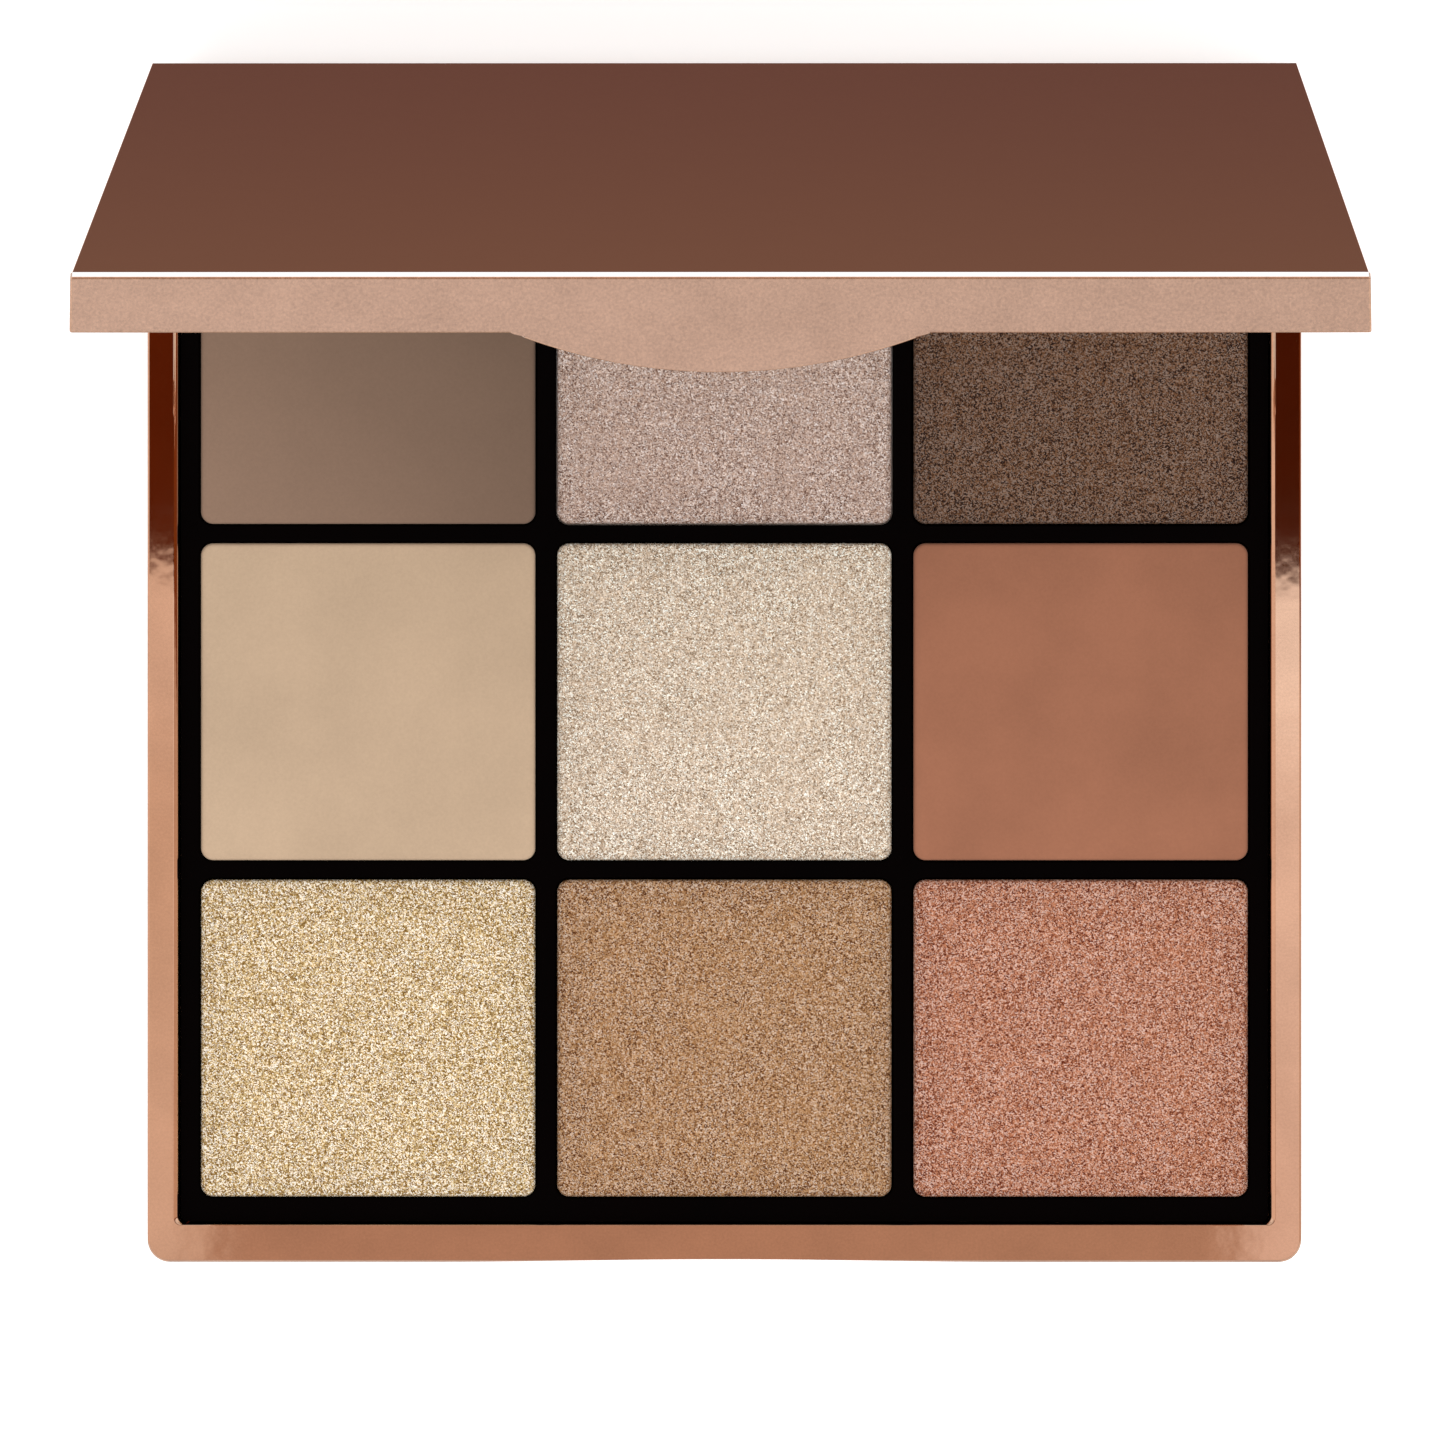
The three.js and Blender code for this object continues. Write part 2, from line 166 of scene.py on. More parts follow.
class PaletteShellSizes(bpy.types.PropertyGroup):
    """Sizes of the base and lid shells."""

    rim_height: length("Rim height", "Height of the base's rim over the table", 8)
    floor: length("Floor", "Thickness of the base's floor", 1.5)
    base_corner: length("Base corner", "Plan radius of the base's corners", 1.75)
    side_rim: length("Side rim", "Width of the base's rim at the sides", 2.42)
    front_rim: length("Front rim", "Width of the base's rim at the front", 2.97)
    back_rim: length("Back rim", "Width of the base's rim at the hinge", 5.56)
    opening_corner: length("Opening corner", "Plan radius of the opening's corners", 0.6)
    outer_round: length("Outer rounding", "Rounding of the base's outer edges", 0.16)
    side_round: length("Side rounding", "Rounding of the side rims' inner edge", 0.42)
    end_round: length("End rounding", "Rounding of the end rims' inner edge", 0.14)
    round_depth: length("Rounding depth", "How far down the inner rounding reaches", 0.4)
    trough: length("Hinge trough", "Radius of the trough the lid turns in", 1.95)
    knuckle: length("Knuckle", "Radius of the hinge knuckles", 1.35)
    lid_knuckle_half: length("Lid knuckle half length", "Half the lid knuckle's length", 30)
    bore: length("Bore", "Radius of the bores for the pins", 0.68)
    lid_chamfer: length("Lid chamfer", "Chamfer along the front of the lid's outer face", 0.34)
    chamfer_round: length("Chamfer rounding", "Rounding between chamfer and wall", 0.1)
    lid_back_round: length("Lid back rounding", "Rounding along the lid's back top edge", 0.5)
    lid_round: length("Lid rounding", "Rounding of the lid's other edges", 0.16)
    lid_draft: length("Lid draft", "How much narrower each side is at the outer face", 0.12)
    lid_plate: length("Lid plate", "Thickness of the lid's plate", 1.2)
    lip_chord: length("Lip chord", "Width of the thumb lip where it leaves the lid", 28.9)
    lip_drop: length("Lip drop", "How far the thumb lip hangs below the rim", 2.78)
    lip_thickness: length("Lip thickness", "Thickness of the thumb lip", 0.95)
    scoop_chord: length("Scoop chord", "Width of the hollow behind the lip", 48)
    scoop_depth: length("Scoop depth", "Depth of the hollow behind the lip", 0.22)


class PaletteTraySizes(bpy.types.PropertyGroup):
    """Sizes of the black tray and of the cakes in it."""

    lip: length("Lip", "Thickness of the tray over the pans", 1)
    window_gap: length("Window gap", "Gap between a cake and its window", 0.1)
    pocket_gap: length("Pocket gap", "Gap between a cake and its pocket's wall", 0.4)
    window_round: length("Window rounding", "Rounding of the windows' top edges", 0.18)
    cake_corner: length("Cake corner", "Plan radius of a cake's corners", 0.95)
    cake_edge: length("Cake edge", "Rounding round the top of a cake", 0.26)
    cake_steps: IntProperty(
        name="Cake steps", description="Rows and columns of faces on a cake", default=104,
        min=16, max=250)


class PaletteShades(bpy.types.PropertyGroup):
    """Colours of the pressed powders and of the shells."""

    back_left: colour("Back left", "Taupe, matte", "7d6555")
    back_centre: colour("Back centre", "Pink silver, shimmer", "c0a699")
    back_right: colour("Back right", "Dark brown, shimmer", "6f4d34")
    middle_left: colour("Middle left", "Cream, matte", "baa086")
    middle_centre: colour("Middle centre", "Champagne, shimmer", "d7c4af")
    middle_right: colour("Middle right", "Terracotta, matte", "94624b")
    front_left: colour("Front left", "Gold, glitter", "d9be89")
    front_centre: colour("Front centre", "Bronze, shimmer", "b2885e")
    front_right: colour("Front right", "Rose, shimmer", "bb7d5e")
    rose_gold: colour("Rose gold", "The metallised skin of both shells", "e7bca0")
    # Painted highlight: the lid's edge chamfers take this paler metal to stand in for the bright
    # line along them.
    cut_edge: colour("Cut edge", "The bright metal of the edges round the lid's face", "fbf4f0")
    tray: colour("Tray", "The tray's black plastic", "020000")


class PaletteStudio(bpy.types.PropertyGroup):
    """Where the camera stands and looks."""

    height: length("Camera height", "Height of the camera over the rim", 745)
    lens: FloatProperty(
        name="Lens", description="Focal length of the camera in millimetres", default=237.97)
    offset_x: length("Camera offset X", "How far right of the middle the camera stands", 2.3)
    aim_x: FloatProperty(
        name="Aim X", description="Where the camera looks, across", default=-0.14 * MM,
        subtype="DISTANCE", unit="LENGTH", precision=5)
    aim_y: FloatProperty(
        name="Aim Y", description="Where the camera looks, along", default=-2.92 * MM,
        subtype="DISTANCE", unit="LENGTH", precision=5)


# ---------------------------------------------------------------- bmesh helpers

def bevel(bm, edges, width, segments, affect="EDGES"):
    return bmesh.ops.bevel(
        bm, geom=edges, offset=width, offset_type="OFFSET", segments=segments, profile=0.5,
        affect=affect, material=-1, clamp_overlap=False)


def upright_edges(bm):
    return [e for e in bm.edges if (e.verts[0].co - e.verts[1].co).xy.length < 1e-7]


def level_edges(bm, z):
    return [e for e in bm.edges if all(abs(v.co.z - z) < 1e-7 for v in e.verts)]


def rounded_block(low, high, corner, top=0.0, bottom=0.0, corner_steps=10, edge_steps=5):
    """A block with round upright corners and with rounded top and bottom edges."""
    bm = bmesh.new()
    bmesh.ops.create_cube(bm, size=1.0)
    bmesh.ops.scale(bm, vec=high - low, verts=bm.verts)
    bmesh.ops.translate(bm, vec=(low + high) / 2, verts=bm.verts)
    if corner:
        bevel(bm, upright_edges(bm), corner, corner_steps)
    if top:
        bevel(bm, level_edges(bm, high.z), top, edge_steps)
    if bottom:
        bevel(bm, level_edges(bm, low.z), bottom, edge_steps)
    return bm


def flare_top(bm, across, along, deep, steps=6, rise=1 * MM):
    """Carries a block's top on upwards, widening it by a quarter round, for cutting an edge."""
    centre = sum((v.co for v in bm.verts), Vector()) / len(bm.verts)
    half_x = max(abs(v.co.x - centre.x) for v in bm.verts)
    half_y = max(abs(v.co.y - centre.y) for v in bm.verts)
    space = Matrix.Translation(-centre)
    before = Vector((1, 1, 0))
    for step in range(1, steps + 2):
        faces = [f for f in bm.faces if f.normal.z > 0.99]
        raised = bmesh.ops.extrude_face_region(bm, geom=faces)["geom"]
        bmesh.ops.delete(bm, geom=faces, context="FACES_ONLY")
        verts = [g for g in raised if isinstance(g, bmesh.types.BMVert)]
        if step > steps:
            bmesh.ops.translate(bm, vec=(0, 0, rise), verts=verts)
            break
        turn = math.radians(90) * step / steps
        out = 1 - math.cos(turn)
        after = Vector((1 + across * out / half_x, 1 + along * out / half_y, math.sin(turn)))
        grow = Vector((after.x / before.x, after.y / before.y, 1))
        bmesh.ops.scale(bm, vec=grow, space=space, verts=verts)
        bmesh.ops.translate(bm, vec=(0, 0, deep * (after.z - before.z)), verts=verts)
        before = after
        bm.normal_update()
    bmesh.ops.recalc_face_normals(bm, faces=bm.faces)
    return bm


def rod(radius, start_x, end_x, centre, segments=64, chamfer=0.0):
    """A round bar along X."""
    bm = bmesh.new()
    bmesh.ops.create_cone(
        bm, cap_ends=True, segments=segments, radius1=radius, radius2=radius,
        depth=end_x - start_x, matrix=Matrix.Rotation(math.radians(90), 4, "Y"))
    place = Vector(((start_x + end_x) / 2, centre.y, centre.z))
    bmesh.ops.translate(bm, vec=place, verts=bm.verts)
    if chamfer:
        caps = [f for f in bm.faces if abs(f.normal.x) > 0.99]
        bevel(bm, list({e for f in caps for e in f.edges}), chamfer, 3)
    return bm


def new_object(name, bm):
    mesh = bpy.data.meshes.new(name)
    bm.to_mesh(mesh)
    bm.free()
    made = bpy.data.objects.new(name, mesh)
    bpy.context.scene.collection.objects.link(made)
    return made


def combine(body, tool_bm, operation):
    """Joins or cuts a mesh object with a bmesh solid."""
    tool = new_object("tool", tool_bm)
    modifier = body.modifiers.new("join", "BOOLEAN")
    modifier.operation = operation
    modifier.solver = "EXACT"
    modifier.object = tool
    shaped = body.evaluated_get(bpy.context.evaluated_depsgraph_get())
    made = bpy.data.meshes.new_from_object(shaped)
    body.modifiers.remove(modifier)
    before, body.data = body.data, made
    bpy.data.meshes.remove(before)
    bpy.data.objects.remove(tool)


def clean(body, merge=2e-6):
    """Merges doubles, drops slivers and points the faces outwards."""
    bm = bmesh.new()
    bm.from_mesh(body.data)
    bmesh.ops.remove_doubles(bm, verts=bm.verts, dist=merge)
    bmesh.ops.dissolve_degenerate(bm, edges=bm.edges, dist=merge)
    bmesh.ops.recalc_face_normals(bm, faces=bm.faces)
    bm.to_mesh(body.data)
    bm.free()


def shade(body, sharp_degrees=32, favour=3):
    """Smooth shading in which large faces outweigh small ones, so flats stay flat to the edge."""
    mesh = body.data
    for polygon in mesh.polygons:
        polygon.use_smooth = True
    mesh.set_sharp_from_angle(angle=math.radians(sharp_degrees))
    around = [[] for _ in mesh.vertices]
    for polygon in mesh.polygons:
        pull = polygon.normal * (polygon.area / MM ** 2) ** favour
        for vertex in polygon.vertices:
            around[vertex].append((polygon.normal, pull))
    limit = math.cos(math.radians(sharp_degrees))
    normals = [corner.vector.copy() for corner in mesh.corner_normals]
    for polygon in mesh.polygons:
        for corner in polygon.loop_indices:
            near = around[mesh.loops[corner].vertex_index]
            alike = (pull for normal, pull in near if normal.dot(polygon.normal) > limit)
            total = sum(alike, Vector())
            if total.length > 0:
                normals[corner] = total.normalized()
    mesh.normals_split_custom_set(normals)


def dress(body, body_name, slot, material, *nodes):
    """Gives a finished piece its material, its CAD body and the nodes it stands for."""
    body.data.name = body.name
    if isinstance(material, bpy.types.Material):
        body.data.materials.clear()
        body.data.materials.append(material)
    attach(body, body_name)
    if nodes:
        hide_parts(*nodes)


# ---------------------------------------------------------------- node helpers

class Nodes:
    """Adds nodes to a tree and joins them."""

    def __init__(self, tree):
        self.tree = tree

    def add(self, kind, inputs=None, **settings):
        node = self.tree.nodes.new(kind)
        for key, value in settings.items():
            setattr(node, key, value)
        for key, value in (inputs or {}).items():
            self.set(node.inputs[key], value)
        return node

    def set(self, socket, value):
        if isinstance(value, bpy.types.NodeSocket):
            self.tree.links.new(value, socket)
        else:
            socket.default_value = value

    def math(self, operation, a, b=0.0, clamp=False):
        node = self.add("ShaderNodeMath", {0: a, 1: b}, operation=operation, use_clamp=clamp)
        return node.outputs[0]

    def spread(self, value, low, high, to_low, to_high, kind="LINEAR"):
        node = self.add("ShaderNodeMapRange", {
            "Value": value, "From Min": low, "From Max": high, "To Min": to_low,
            "To Max": to_high}, interpolation_type=kind)
        return node.outputs["Result"]

    def mix(self, factor, a, b, blend="MIX"):
        node = self.add("ShaderNodeMix", data_type="RGBA", blend_type=blend)
        for index, value in ((0, factor), (6, a), (7, b)):
            self.set(node.inputs[index], value)
        return node.outputs[2]

    def millimetres(self):
        """Object coordinates in millimetres."""
        place = self.add("ShaderNodeTexCoord").outputs["Object"]
        scaled = self.add(
            "ShaderNodeVectorMath", {0: place, 3: 1 / MM}, operation="SCALE")
        return scaled.outputs[0]


def rgba(values, gain=1.0):
    return (*(min(max(v * gain, 0.0), 1.0) for v in values), 1.0)


def new_group(name, inputs, outputs):
    """An empty node group with named float, colour or vector sockets."""
    group = bpy.data.node_groups.new(name, "ShaderNodeTree")
    for socket_name, kind, default in inputs:
        socket = group.interface.new_socket(socket_name, in_out="INPUT", socket_type=kind)
        socket.default_value = default
    for socket_name, kind in outputs:
        group.interface.new_socket(socket_name, in_out="OUTPUT", socket_type=kind)
    nodes = Nodes(group)
    return group, nodes, nodes.add("NodeGroupInput"), nodes.add("NodeGroupOutput")


def grain_group():
    """Fine moulded or metallised grain: a height and a soft patchy mask."""
    if "fine_grain" in bpy.data.node_groups:
        return bpy.data.node_groups["fine_grain"]
    group, nodes, start, end = new_group(
        "fine_grain",
        [("Scale", "NodeSocketFloat", 4.0), ("Patch Scale", "NodeSocketFloat", 0.2)],
        [("Height", "NodeSocketFloat"), ("Patches", "NodeSocketFloat")])
    place = nodes.millimetres()
    fine = nodes.add("ShaderNodeTexNoise", {
        "Vector": place, "Scale": start.outputs["Scale"], "Detail": 3.0, "Roughness": 0.6})
    patches = nodes.add("ShaderNodeTexNoise", {
        "Vector": place, "Scale": start.outputs["Patch Scale"], "Detail": 4.0,
        "Roughness": 0.55})
    nodes.set(end.inputs["Height"], fine.outputs["Fac"])
    nodes.set(end.inputs["Patches"], patches.outputs["Fac"])
    return group


def flake_group():
    """Pressed mica flakes: each has a tone, a hue and a tilt of its own, and they drift."""
    if "mica_flakes" in bpy.data.node_groups:
        return bpy.data.node_groups["mica_flakes"]
    group, nodes, start, end = new_group(
        "mica_flakes",
        [("Flakes per mm", "NodeSocketFloat", 8.0), ("Tilt", "NodeSocketFloat", 0.5),
         ("Calm", "NodeSocketFloat", 0.35)],
        [("Tone", "NodeSocketFloat"), ("Spark", "NodeSocketFloat"),
         ("Hue", "NodeSocketFloat"), ("Strength", "NodeSocketFloat"),
         ("Normal", "NodeSocketVector")])
    place = nodes.millimetres()
    bend = nodes.add("ShaderNodeTexNoise", {"Vector": place, "Scale": 5.0, "Detail": 1.0})
    bent = nodes.add(
        "ShaderNodeVectorMath", {0: bend.outputs["Color"], 1: (0.12, 0.12, 0.12), 2: place},
        operation="MULTIPLY_ADD")
    fine = nodes.add("ShaderNodeTexVoronoi", {
        "Vector": bent.outputs[0], "Scale": start.outputs["Flakes per mm"]})
    coarse = nodes.add("ShaderNodeTexVoronoi", {
        "Vector": bent.outputs[0],
        "Scale": nodes.math("MULTIPLY", start.outputs["Flakes per mm"], 0.5)})
    random = nodes.add("ShaderNodeSeparateColor", {"Color": fine.outputs["Color"]})
    larger = nodes.add("ShaderNodeSeparateColor", {"Color": coarse.outputs["Color"]})
    mixed = nodes.math(
        "ADD", nodes.math("MULTIPLY", random.outputs["Red"], 0.9),
        nodes.math("MULTIPLY", larger.outputs["Red"], 0.1))
    centred = nodes.math("SUBTRACT", mixed, 0.5)
    rare = nodes.math("MULTIPLY", nodes.math("POWER", nodes.math("ABSOLUTE", centred), 2.0), 1.5)
    signed = nodes.math("MULTIPLY", nodes.math("SIGN", centred), rare)
    pressed = nodes.add(
        "ShaderNodeVectorMath", {0: place, 1: (1.0, 0.12, 1.0)}, operation="MULTIPLY")
    threads = nodes.add("ShaderNodeTexNoise", {
        "Vector": pressed.outputs[0], "Scale": 2.6, "Detail": 1.0, "Roughness": 0.5})
    woven = nodes.spread(threads.outputs["Fac"], 0.3, 0.7, -0.03, 0.03)
    flecked = nodes.math("ADD", signed, nodes.math("MULTIPLY", centred, 0.45))
    blend = nodes.math("ADD", nodes.math("ADD", flecked, woven), 0.5)
    streaks = nodes.add("ShaderNodeTexNoise", {
        "Vector": pressed.outputs[0], "Scale": 0.9, "Detail": 2.0, "Roughness": 0.7})
    drift = nodes.add("ShaderNodeTexNoise", {
        "Vector": place, "Scale": 0.2, "Detail": 3.0, "Roughness": 0.6})
    swing = nodes.math(
        "ADD", nodes.math("MULTIPLY", drift.outputs["Fac"], 0.7),
        nodes.math("MULTIPLY", streaks.outputs["Fac"], 0.3))
    strength = nodes.spread(
        swing, 0.38, 0.62, nodes.math("SUBTRACT", 1.0, start.outputs["Calm"]), 1.0)
    tilt = nodes.add(
        "ShaderNodeVectorMath", {0: fine.outputs["Color"], 1: (0.5, 0.5, 0.5)},
        operation="SUBTRACT")
    amount = nodes.math("MULTIPLY", start.outputs["Tilt"], strength)
    leaned = nodes.add("ShaderNodeVectorMath", {0: tilt.outputs[0], 3: amount}, operation="SCALE")
    upright = nodes.add("ShaderNodeNewGeometry").outputs["Normal"]
    facing = nodes.add("ShaderNodeVectorMath", {0: upright, 1: leaned.outputs[0]}, operation="ADD")
    unit = nodes.add("ShaderNodeVectorMath", {0: facing.outputs[0]}, operation="NORMALIZE")
    nodes.set(end.inputs["Tone"], blend)
    nodes.set(end.inputs["Spark"], random.outputs["Green"])
    nodes.set(end.inputs["Hue"], larger.outputs["Blue"])
    nodes.set(end.inputs["Strength"], strength)
    nodes.set(end.inputs["Normal"], unit.outputs[0])
    return group


def falloff_group():
    """A level, round one, that leans across and along a cake: painted shade where the light falls
    off over it.
    """
    if "uneven_press" in bpy.data.node_groups:
        return bpy.data.node_groups["uneven_press"]
    group, nodes, start, end = new_group(
        "uneven_press",
        [("Centre", "NodeSocketVector", (0, 0, 0)), ("Lean", "NodeSocketVector", (0, 0, 0))],
        [("Level", "NodeSocketFloat")])
    apart = nodes.add(
        "ShaderNodeVectorMath", {0: nodes.millimetres(), 1: start.outputs["Centre"]},
        operation="SUBTRACT")
    slope = nodes.add(
        "ShaderNodeVectorMath", {0: apart.outputs[0], 1: start.outputs["Lean"]},
        operation="DOT_PRODUCT")
    nodes.set(end.inputs["Level"], nodes.math("ADD", slope.outputs["Value"], 1.0))
    return group


def falloff_level(nodes, node, lean):
    """The painted light falloff on a cake: lean is its change from the middle to each edge."""
    low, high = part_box(node)
    falloff = nodes.add("ShaderNodeGroup", node_tree=falloff_group())
    half = (high - low) / 2 / MM
    falloff.inputs["Centre"].default_value = (low + high) / 2 / MM
    falloff.inputs["Lean"].default_value = (lean[0] / half.x, lean[1] / half.y, 0)
    return falloff.outputs["Level"]


def start_material(name):
    """A new material: its node helper and its Principled BSDF."""
    material = bpy.data.materials.new(name)
    material.use_nodes = True
    nodes = Nodes(material.node_tree)
    return material, nodes, material.node_tree.nodes["Principled BSDF"]


# ---------------------------------------------------------------- materials

# Each metallised finish: roughness, strength and scale of the grain, strength of the smudges,
# height of the ripple in mm, and the shade it takes.
FINISHES = {
    "rose_gold_base": (0.025, 0.14, 5.0, 0.14, 0.0015, "rose_gold"),
    "rose_gold_satin": (0.2, 0.4, 5.0, 0.12, 0.01, "rose_gold"),
    "rose_gold_polished": (0.08, 0.02, 3.0, 0.02, 0.0004, "rose_gold"),
    # The edge chamfers' paler metal is a painted highlight.
    "cut_edge": (0.05, 0.02, 3.0, 0.02, 0.0004, "cut_edge"),
}


def rose_gold(name):
    """Metallised rose gold: fine grain, cloudy smudges and a slow ripple in the skin."""
    roughness, grain, grain_scale, mottle, ripple, shade_name = FINISHES[name]
    material, nodes, skin = start_material(name)
    base = getattr(bpy.context.scene.palette_shades, shade_name)
    texture = nodes.add("ShaderNodeGroup", node_tree=grain_group())
    texture.inputs["Scale"].default_value = grain_scale
    texture.inputs["Patch Scale"].default_value = 0.22
    smudge = nodes.spread(texture.outputs["Patches"], 0.3, 0.7, -mottle, mottle)
    speck = nodes.spread(texture.outputs["Height"], 0.25, 0.75, -grain, grain)
    level = nodes.math("ADD", nodes.math("ADD", smudge, speck), 0.5)
    nodes.set(skin.inputs["Base Color"], nodes.mix(level, rgba(base, 0.76), rgba(base, 1.24)))
    nodes.set(skin.inputs["Roughness"], nodes.spread(
        texture.outputs["Height"], 0.25, 0.75, roughness * 0.8, roughness * 1.2))
    slow = nodes.add("ShaderNodeTexNoise", {
        "Vector": nodes.millimetres(), "Scale": 0.55, "Detail": 2.0, "Roughness": 0.45})
    bump = nodes.add("ShaderNodeBump", {
        "Strength": 1.0, "Distance": ripple * MM, "Height": slow.outputs["Fac"]})
    nodes.set(skin.inputs["Normal"], bump.outputs["Normal"])
    skin.inputs["Metallic"].default_value = 1.0
    return material


def black_plastic():
    """Deep black moulded plastic with a fine satin texture."""
    material, nodes, skin = start_material("tray_black")
    base = bpy.context.scene.palette_shades.tray
    texture = nodes.add("ShaderNodeGroup", node_tree=grain_group())
    texture.inputs["Scale"].default_value = 9.0
    tone = nodes.spread(texture.outputs["Patches"], 0.3, 0.7, 0.0, 1.0)
    nodes.set(skin.inputs["Base Color"], nodes.mix(tone, rgba(base, 0.7), rgba(base, 1.2)))
    nodes.set(skin.inputs["Roughness"], nodes.spread(
        texture.outputs["Height"], 0.3, 0.7, 0.5, 0.62))
    bump = nodes.add("ShaderNodeBump", {
        "Strength": 0.25, "Distance": 0.01 * MM, "Height": texture.outputs["Height"]})
    nodes.set(skin.inputs["Normal"], bump.outputs["Normal"])
    skin.inputs["Specular IOR Level"].default_value = 0.03
    return material


def rim_shadow(nodes, width):
    """Nought at a cake's border, rising to one that far inside it, in millimetres."""
    distance = nodes.add("ShaderNodeAttribute", attribute_name="rim_distance").outputs["Fac"]
    return nodes.spread(distance, 0.0, width, 0.0, 1.0, "SMOOTHSTEP")


def matte_powder(name, base, node, drift, lean):
    """Pressed matte powder: chalky, with a faint cloudiness and a soft grain."""
    material, nodes, skin = start_material(name)
    texture = nodes.add("ShaderNodeGroup", node_tree=grain_group())
    texture.inputs["Scale"].default_value = 5.0
    texture.inputs["Patch Scale"].default_value = 0.11
    cloud = nodes.spread(texture.outputs["Patches"], 0.35, 0.65, 1 - drift, 1 + drift)
    speck = nodes.spread(texture.outputs["Height"], 0.3, 0.7, 0.96, 1.04)
    edge = nodes.spread(rim_shadow(nodes, 0.5), 0, 1, 0.92, 1.0)
    # Painted shade: the level leans across the cake where the light falls off over it.
    level = falloff_level(nodes, node, lean)
    for part in (cloud, speck, edge):
        level = nodes.math("MULTIPLY", level, part)
    tone = nodes.add("ShaderNodeVectorMath", {0: base, 3: level}, operation="SCALE")
    nodes.set(skin.inputs["Base Color"], tone.outputs[0])
    bump = nodes.add("ShaderNodeBump", {
        "Strength": 0.3, "Distance": 0.03 * MM, "Height": texture.outputs["Height"]})
    nodes.set(skin.inputs["Normal"], bump.outputs["Normal"])
    skin.inputs["Roughness"].default_value = 0.95
    skin.inputs["Specular IOR Level"].default_value = 0.15
    skin.inputs["Sheen Weight"].default_value = 0.05
    return material


def shimmer_powder(name, base, node, lean, flakes, contrast, metal, glint):
    """Pressed shimmer: flakes with a tone and a tilt of their own, in a powder ground; the flake
    tones are partly the mica's own and partly painted glints and painted shade.
    """
    material, nodes, skin = start_material(name)
    mica = nodes.add("ShaderNodeGroup", node_tree=flake_group())
    mica.inputs["Flakes per mm"].default_value = flakes
    strength = nodes.math(
        "MULTIPLY", nodes.math("MULTIPLY", mica.outputs["Strength"], contrast),
        nodes.spread(rim_shadow(nodes, 3.0), 0, 1, 1.25, 0.95))
    centred = nodes.math("SUBTRACT", mica.outputs["Tone"], 0.5)
    tone = nodes.math("ADD", nodes.math("MULTIPLY", centred, strength), 0.5)
    shades = nodes.add("ShaderNodeValToRGB", {"Fac": tone})
    pale = sum(base) / 3
    # Flake tones from dark to whitened bright: partly the mica's own tone, partly painted shade
    # and painted glints; glint sets how white the brightest are painted.
    points = (
        (0.05, [v ** 2.0 * 0.55 for v in base]), (0.32, [v ** 1.25 * 0.84 for v in base]),
        (0.55, base), (0.78, [v * 0.95 + 0.4 * glint * pale for v in base]),
        (0.97, [v * (1.8 - glint) + glint * pale for v in base]))
    elements = shades.color_ramp.elements
    while len(elements) < len(points):
        elements.new(0.5)
    for element, (place, value) in zip(elements, points):
        element.position = place
        element.color = rgba(value)
    hue = nodes.mix(mica.outputs["Hue"], rgba((1.0, 0.94, 0.87)), rgba((0.94, 0.97, 1.0)))
    tinted = nodes.mix(1.0, shades.outputs["Color"], hue, "MULTIPLY")
    rim = nodes.math(
        "MULTIPLY", nodes.spread(rim_shadow(nodes, 0.6), 0, 1, 0.78, 1.0),
        nodes.spread(rim_shadow(nodes, 4.5), 0, 1, 0.92, 1.0))
    # Painted shade: the level leans across the cake where the light falls off over it.
    level = nodes.math("MULTIPLY", falloff_level(nodes, node, lean), rim)
    scaled = nodes.add("ShaderNodeVectorMath", {0: tinted, 3: level}, operation="SCALE")
    nodes.set(skin.inputs["Base Color"], scaled.outputs[0])
    nodes.set(skin.inputs["Metallic"], nodes.spread(
        mica.outputs["Spark"], 0.45, 0.8, 0.0, metal))
    nodes.set(skin.inputs["Roughness"], nodes.spread(mica.outputs["Spark"], 0.0, 1.0, 0.65, 0.35))
    nodes.set(skin.inputs["Normal"], mica.outputs["Normal"])
    skin.inputs["Specular IOR Level"].default_value = 0.25
    return material


def plain_metal(name, tone, roughness, streaks):
    """Rolled or drawn metal with fine streaks along X."""
    material, nodes, skin = start_material(name)
    place = nodes.millimetres()
    stretched = nodes.add(
        "ShaderNodeVectorMath", {0: place, 1: (0.15, 6.0, 6.0)}, operation="MULTIPLY")
    lines = nodes.add("ShaderNodeTexNoise", {
        "Vector": stretched.outputs[0], "Scale": 2.0, "Detail": 3.0})
    nodes.set(skin.inputs["Base Color"], nodes.mix(
        lines.outputs["Fac"], rgba(tone, 0.9), rgba(tone, 1.05)))
    nodes.set(skin.inputs["Roughness"], nodes.spread(
        lines.outputs["Fac"], 0.3, 0.7, roughness * 0.8, roughness * 1.2))
    bump = nodes.add("ShaderNodeBump", {
        "Strength": streaks, "Distance": 0.01 * MM, "Height": lines.outputs["Fac"]})
    nodes.set(skin.inputs["Normal"], bump.outputs["Normal"])
    skin.inputs["Metallic"].default_value = 1.0
    return material


def soft_material(name, tone, roughness, grain, scale):
    """Paper, tape or glue: a quiet mottled surface with a fine grain."""
    material, nodes, skin = start_material(name)
    texture = nodes.add("ShaderNodeGroup", node_tree=grain_group())
    texture.inputs["Scale"].default_value = scale
    cloud = nodes.spread(texture.outputs["Patches"], 0.3, 0.7, 0.0, 1.0)
    nodes.set(skin.inputs["Base Color"], nodes.mix(cloud, rgba(tone, 0.93), rgba(tone, 1.03)))
    bump = nodes.add("ShaderNodeBump", {
        "Strength": grain, "Distance": 0.02 * MM, "Height": texture.outputs["Height"]})
    nodes.set(skin.inputs["Normal"], bump.outputs["Normal"])
    skin.inputs["Roughness"].default_value = roughness
    return material


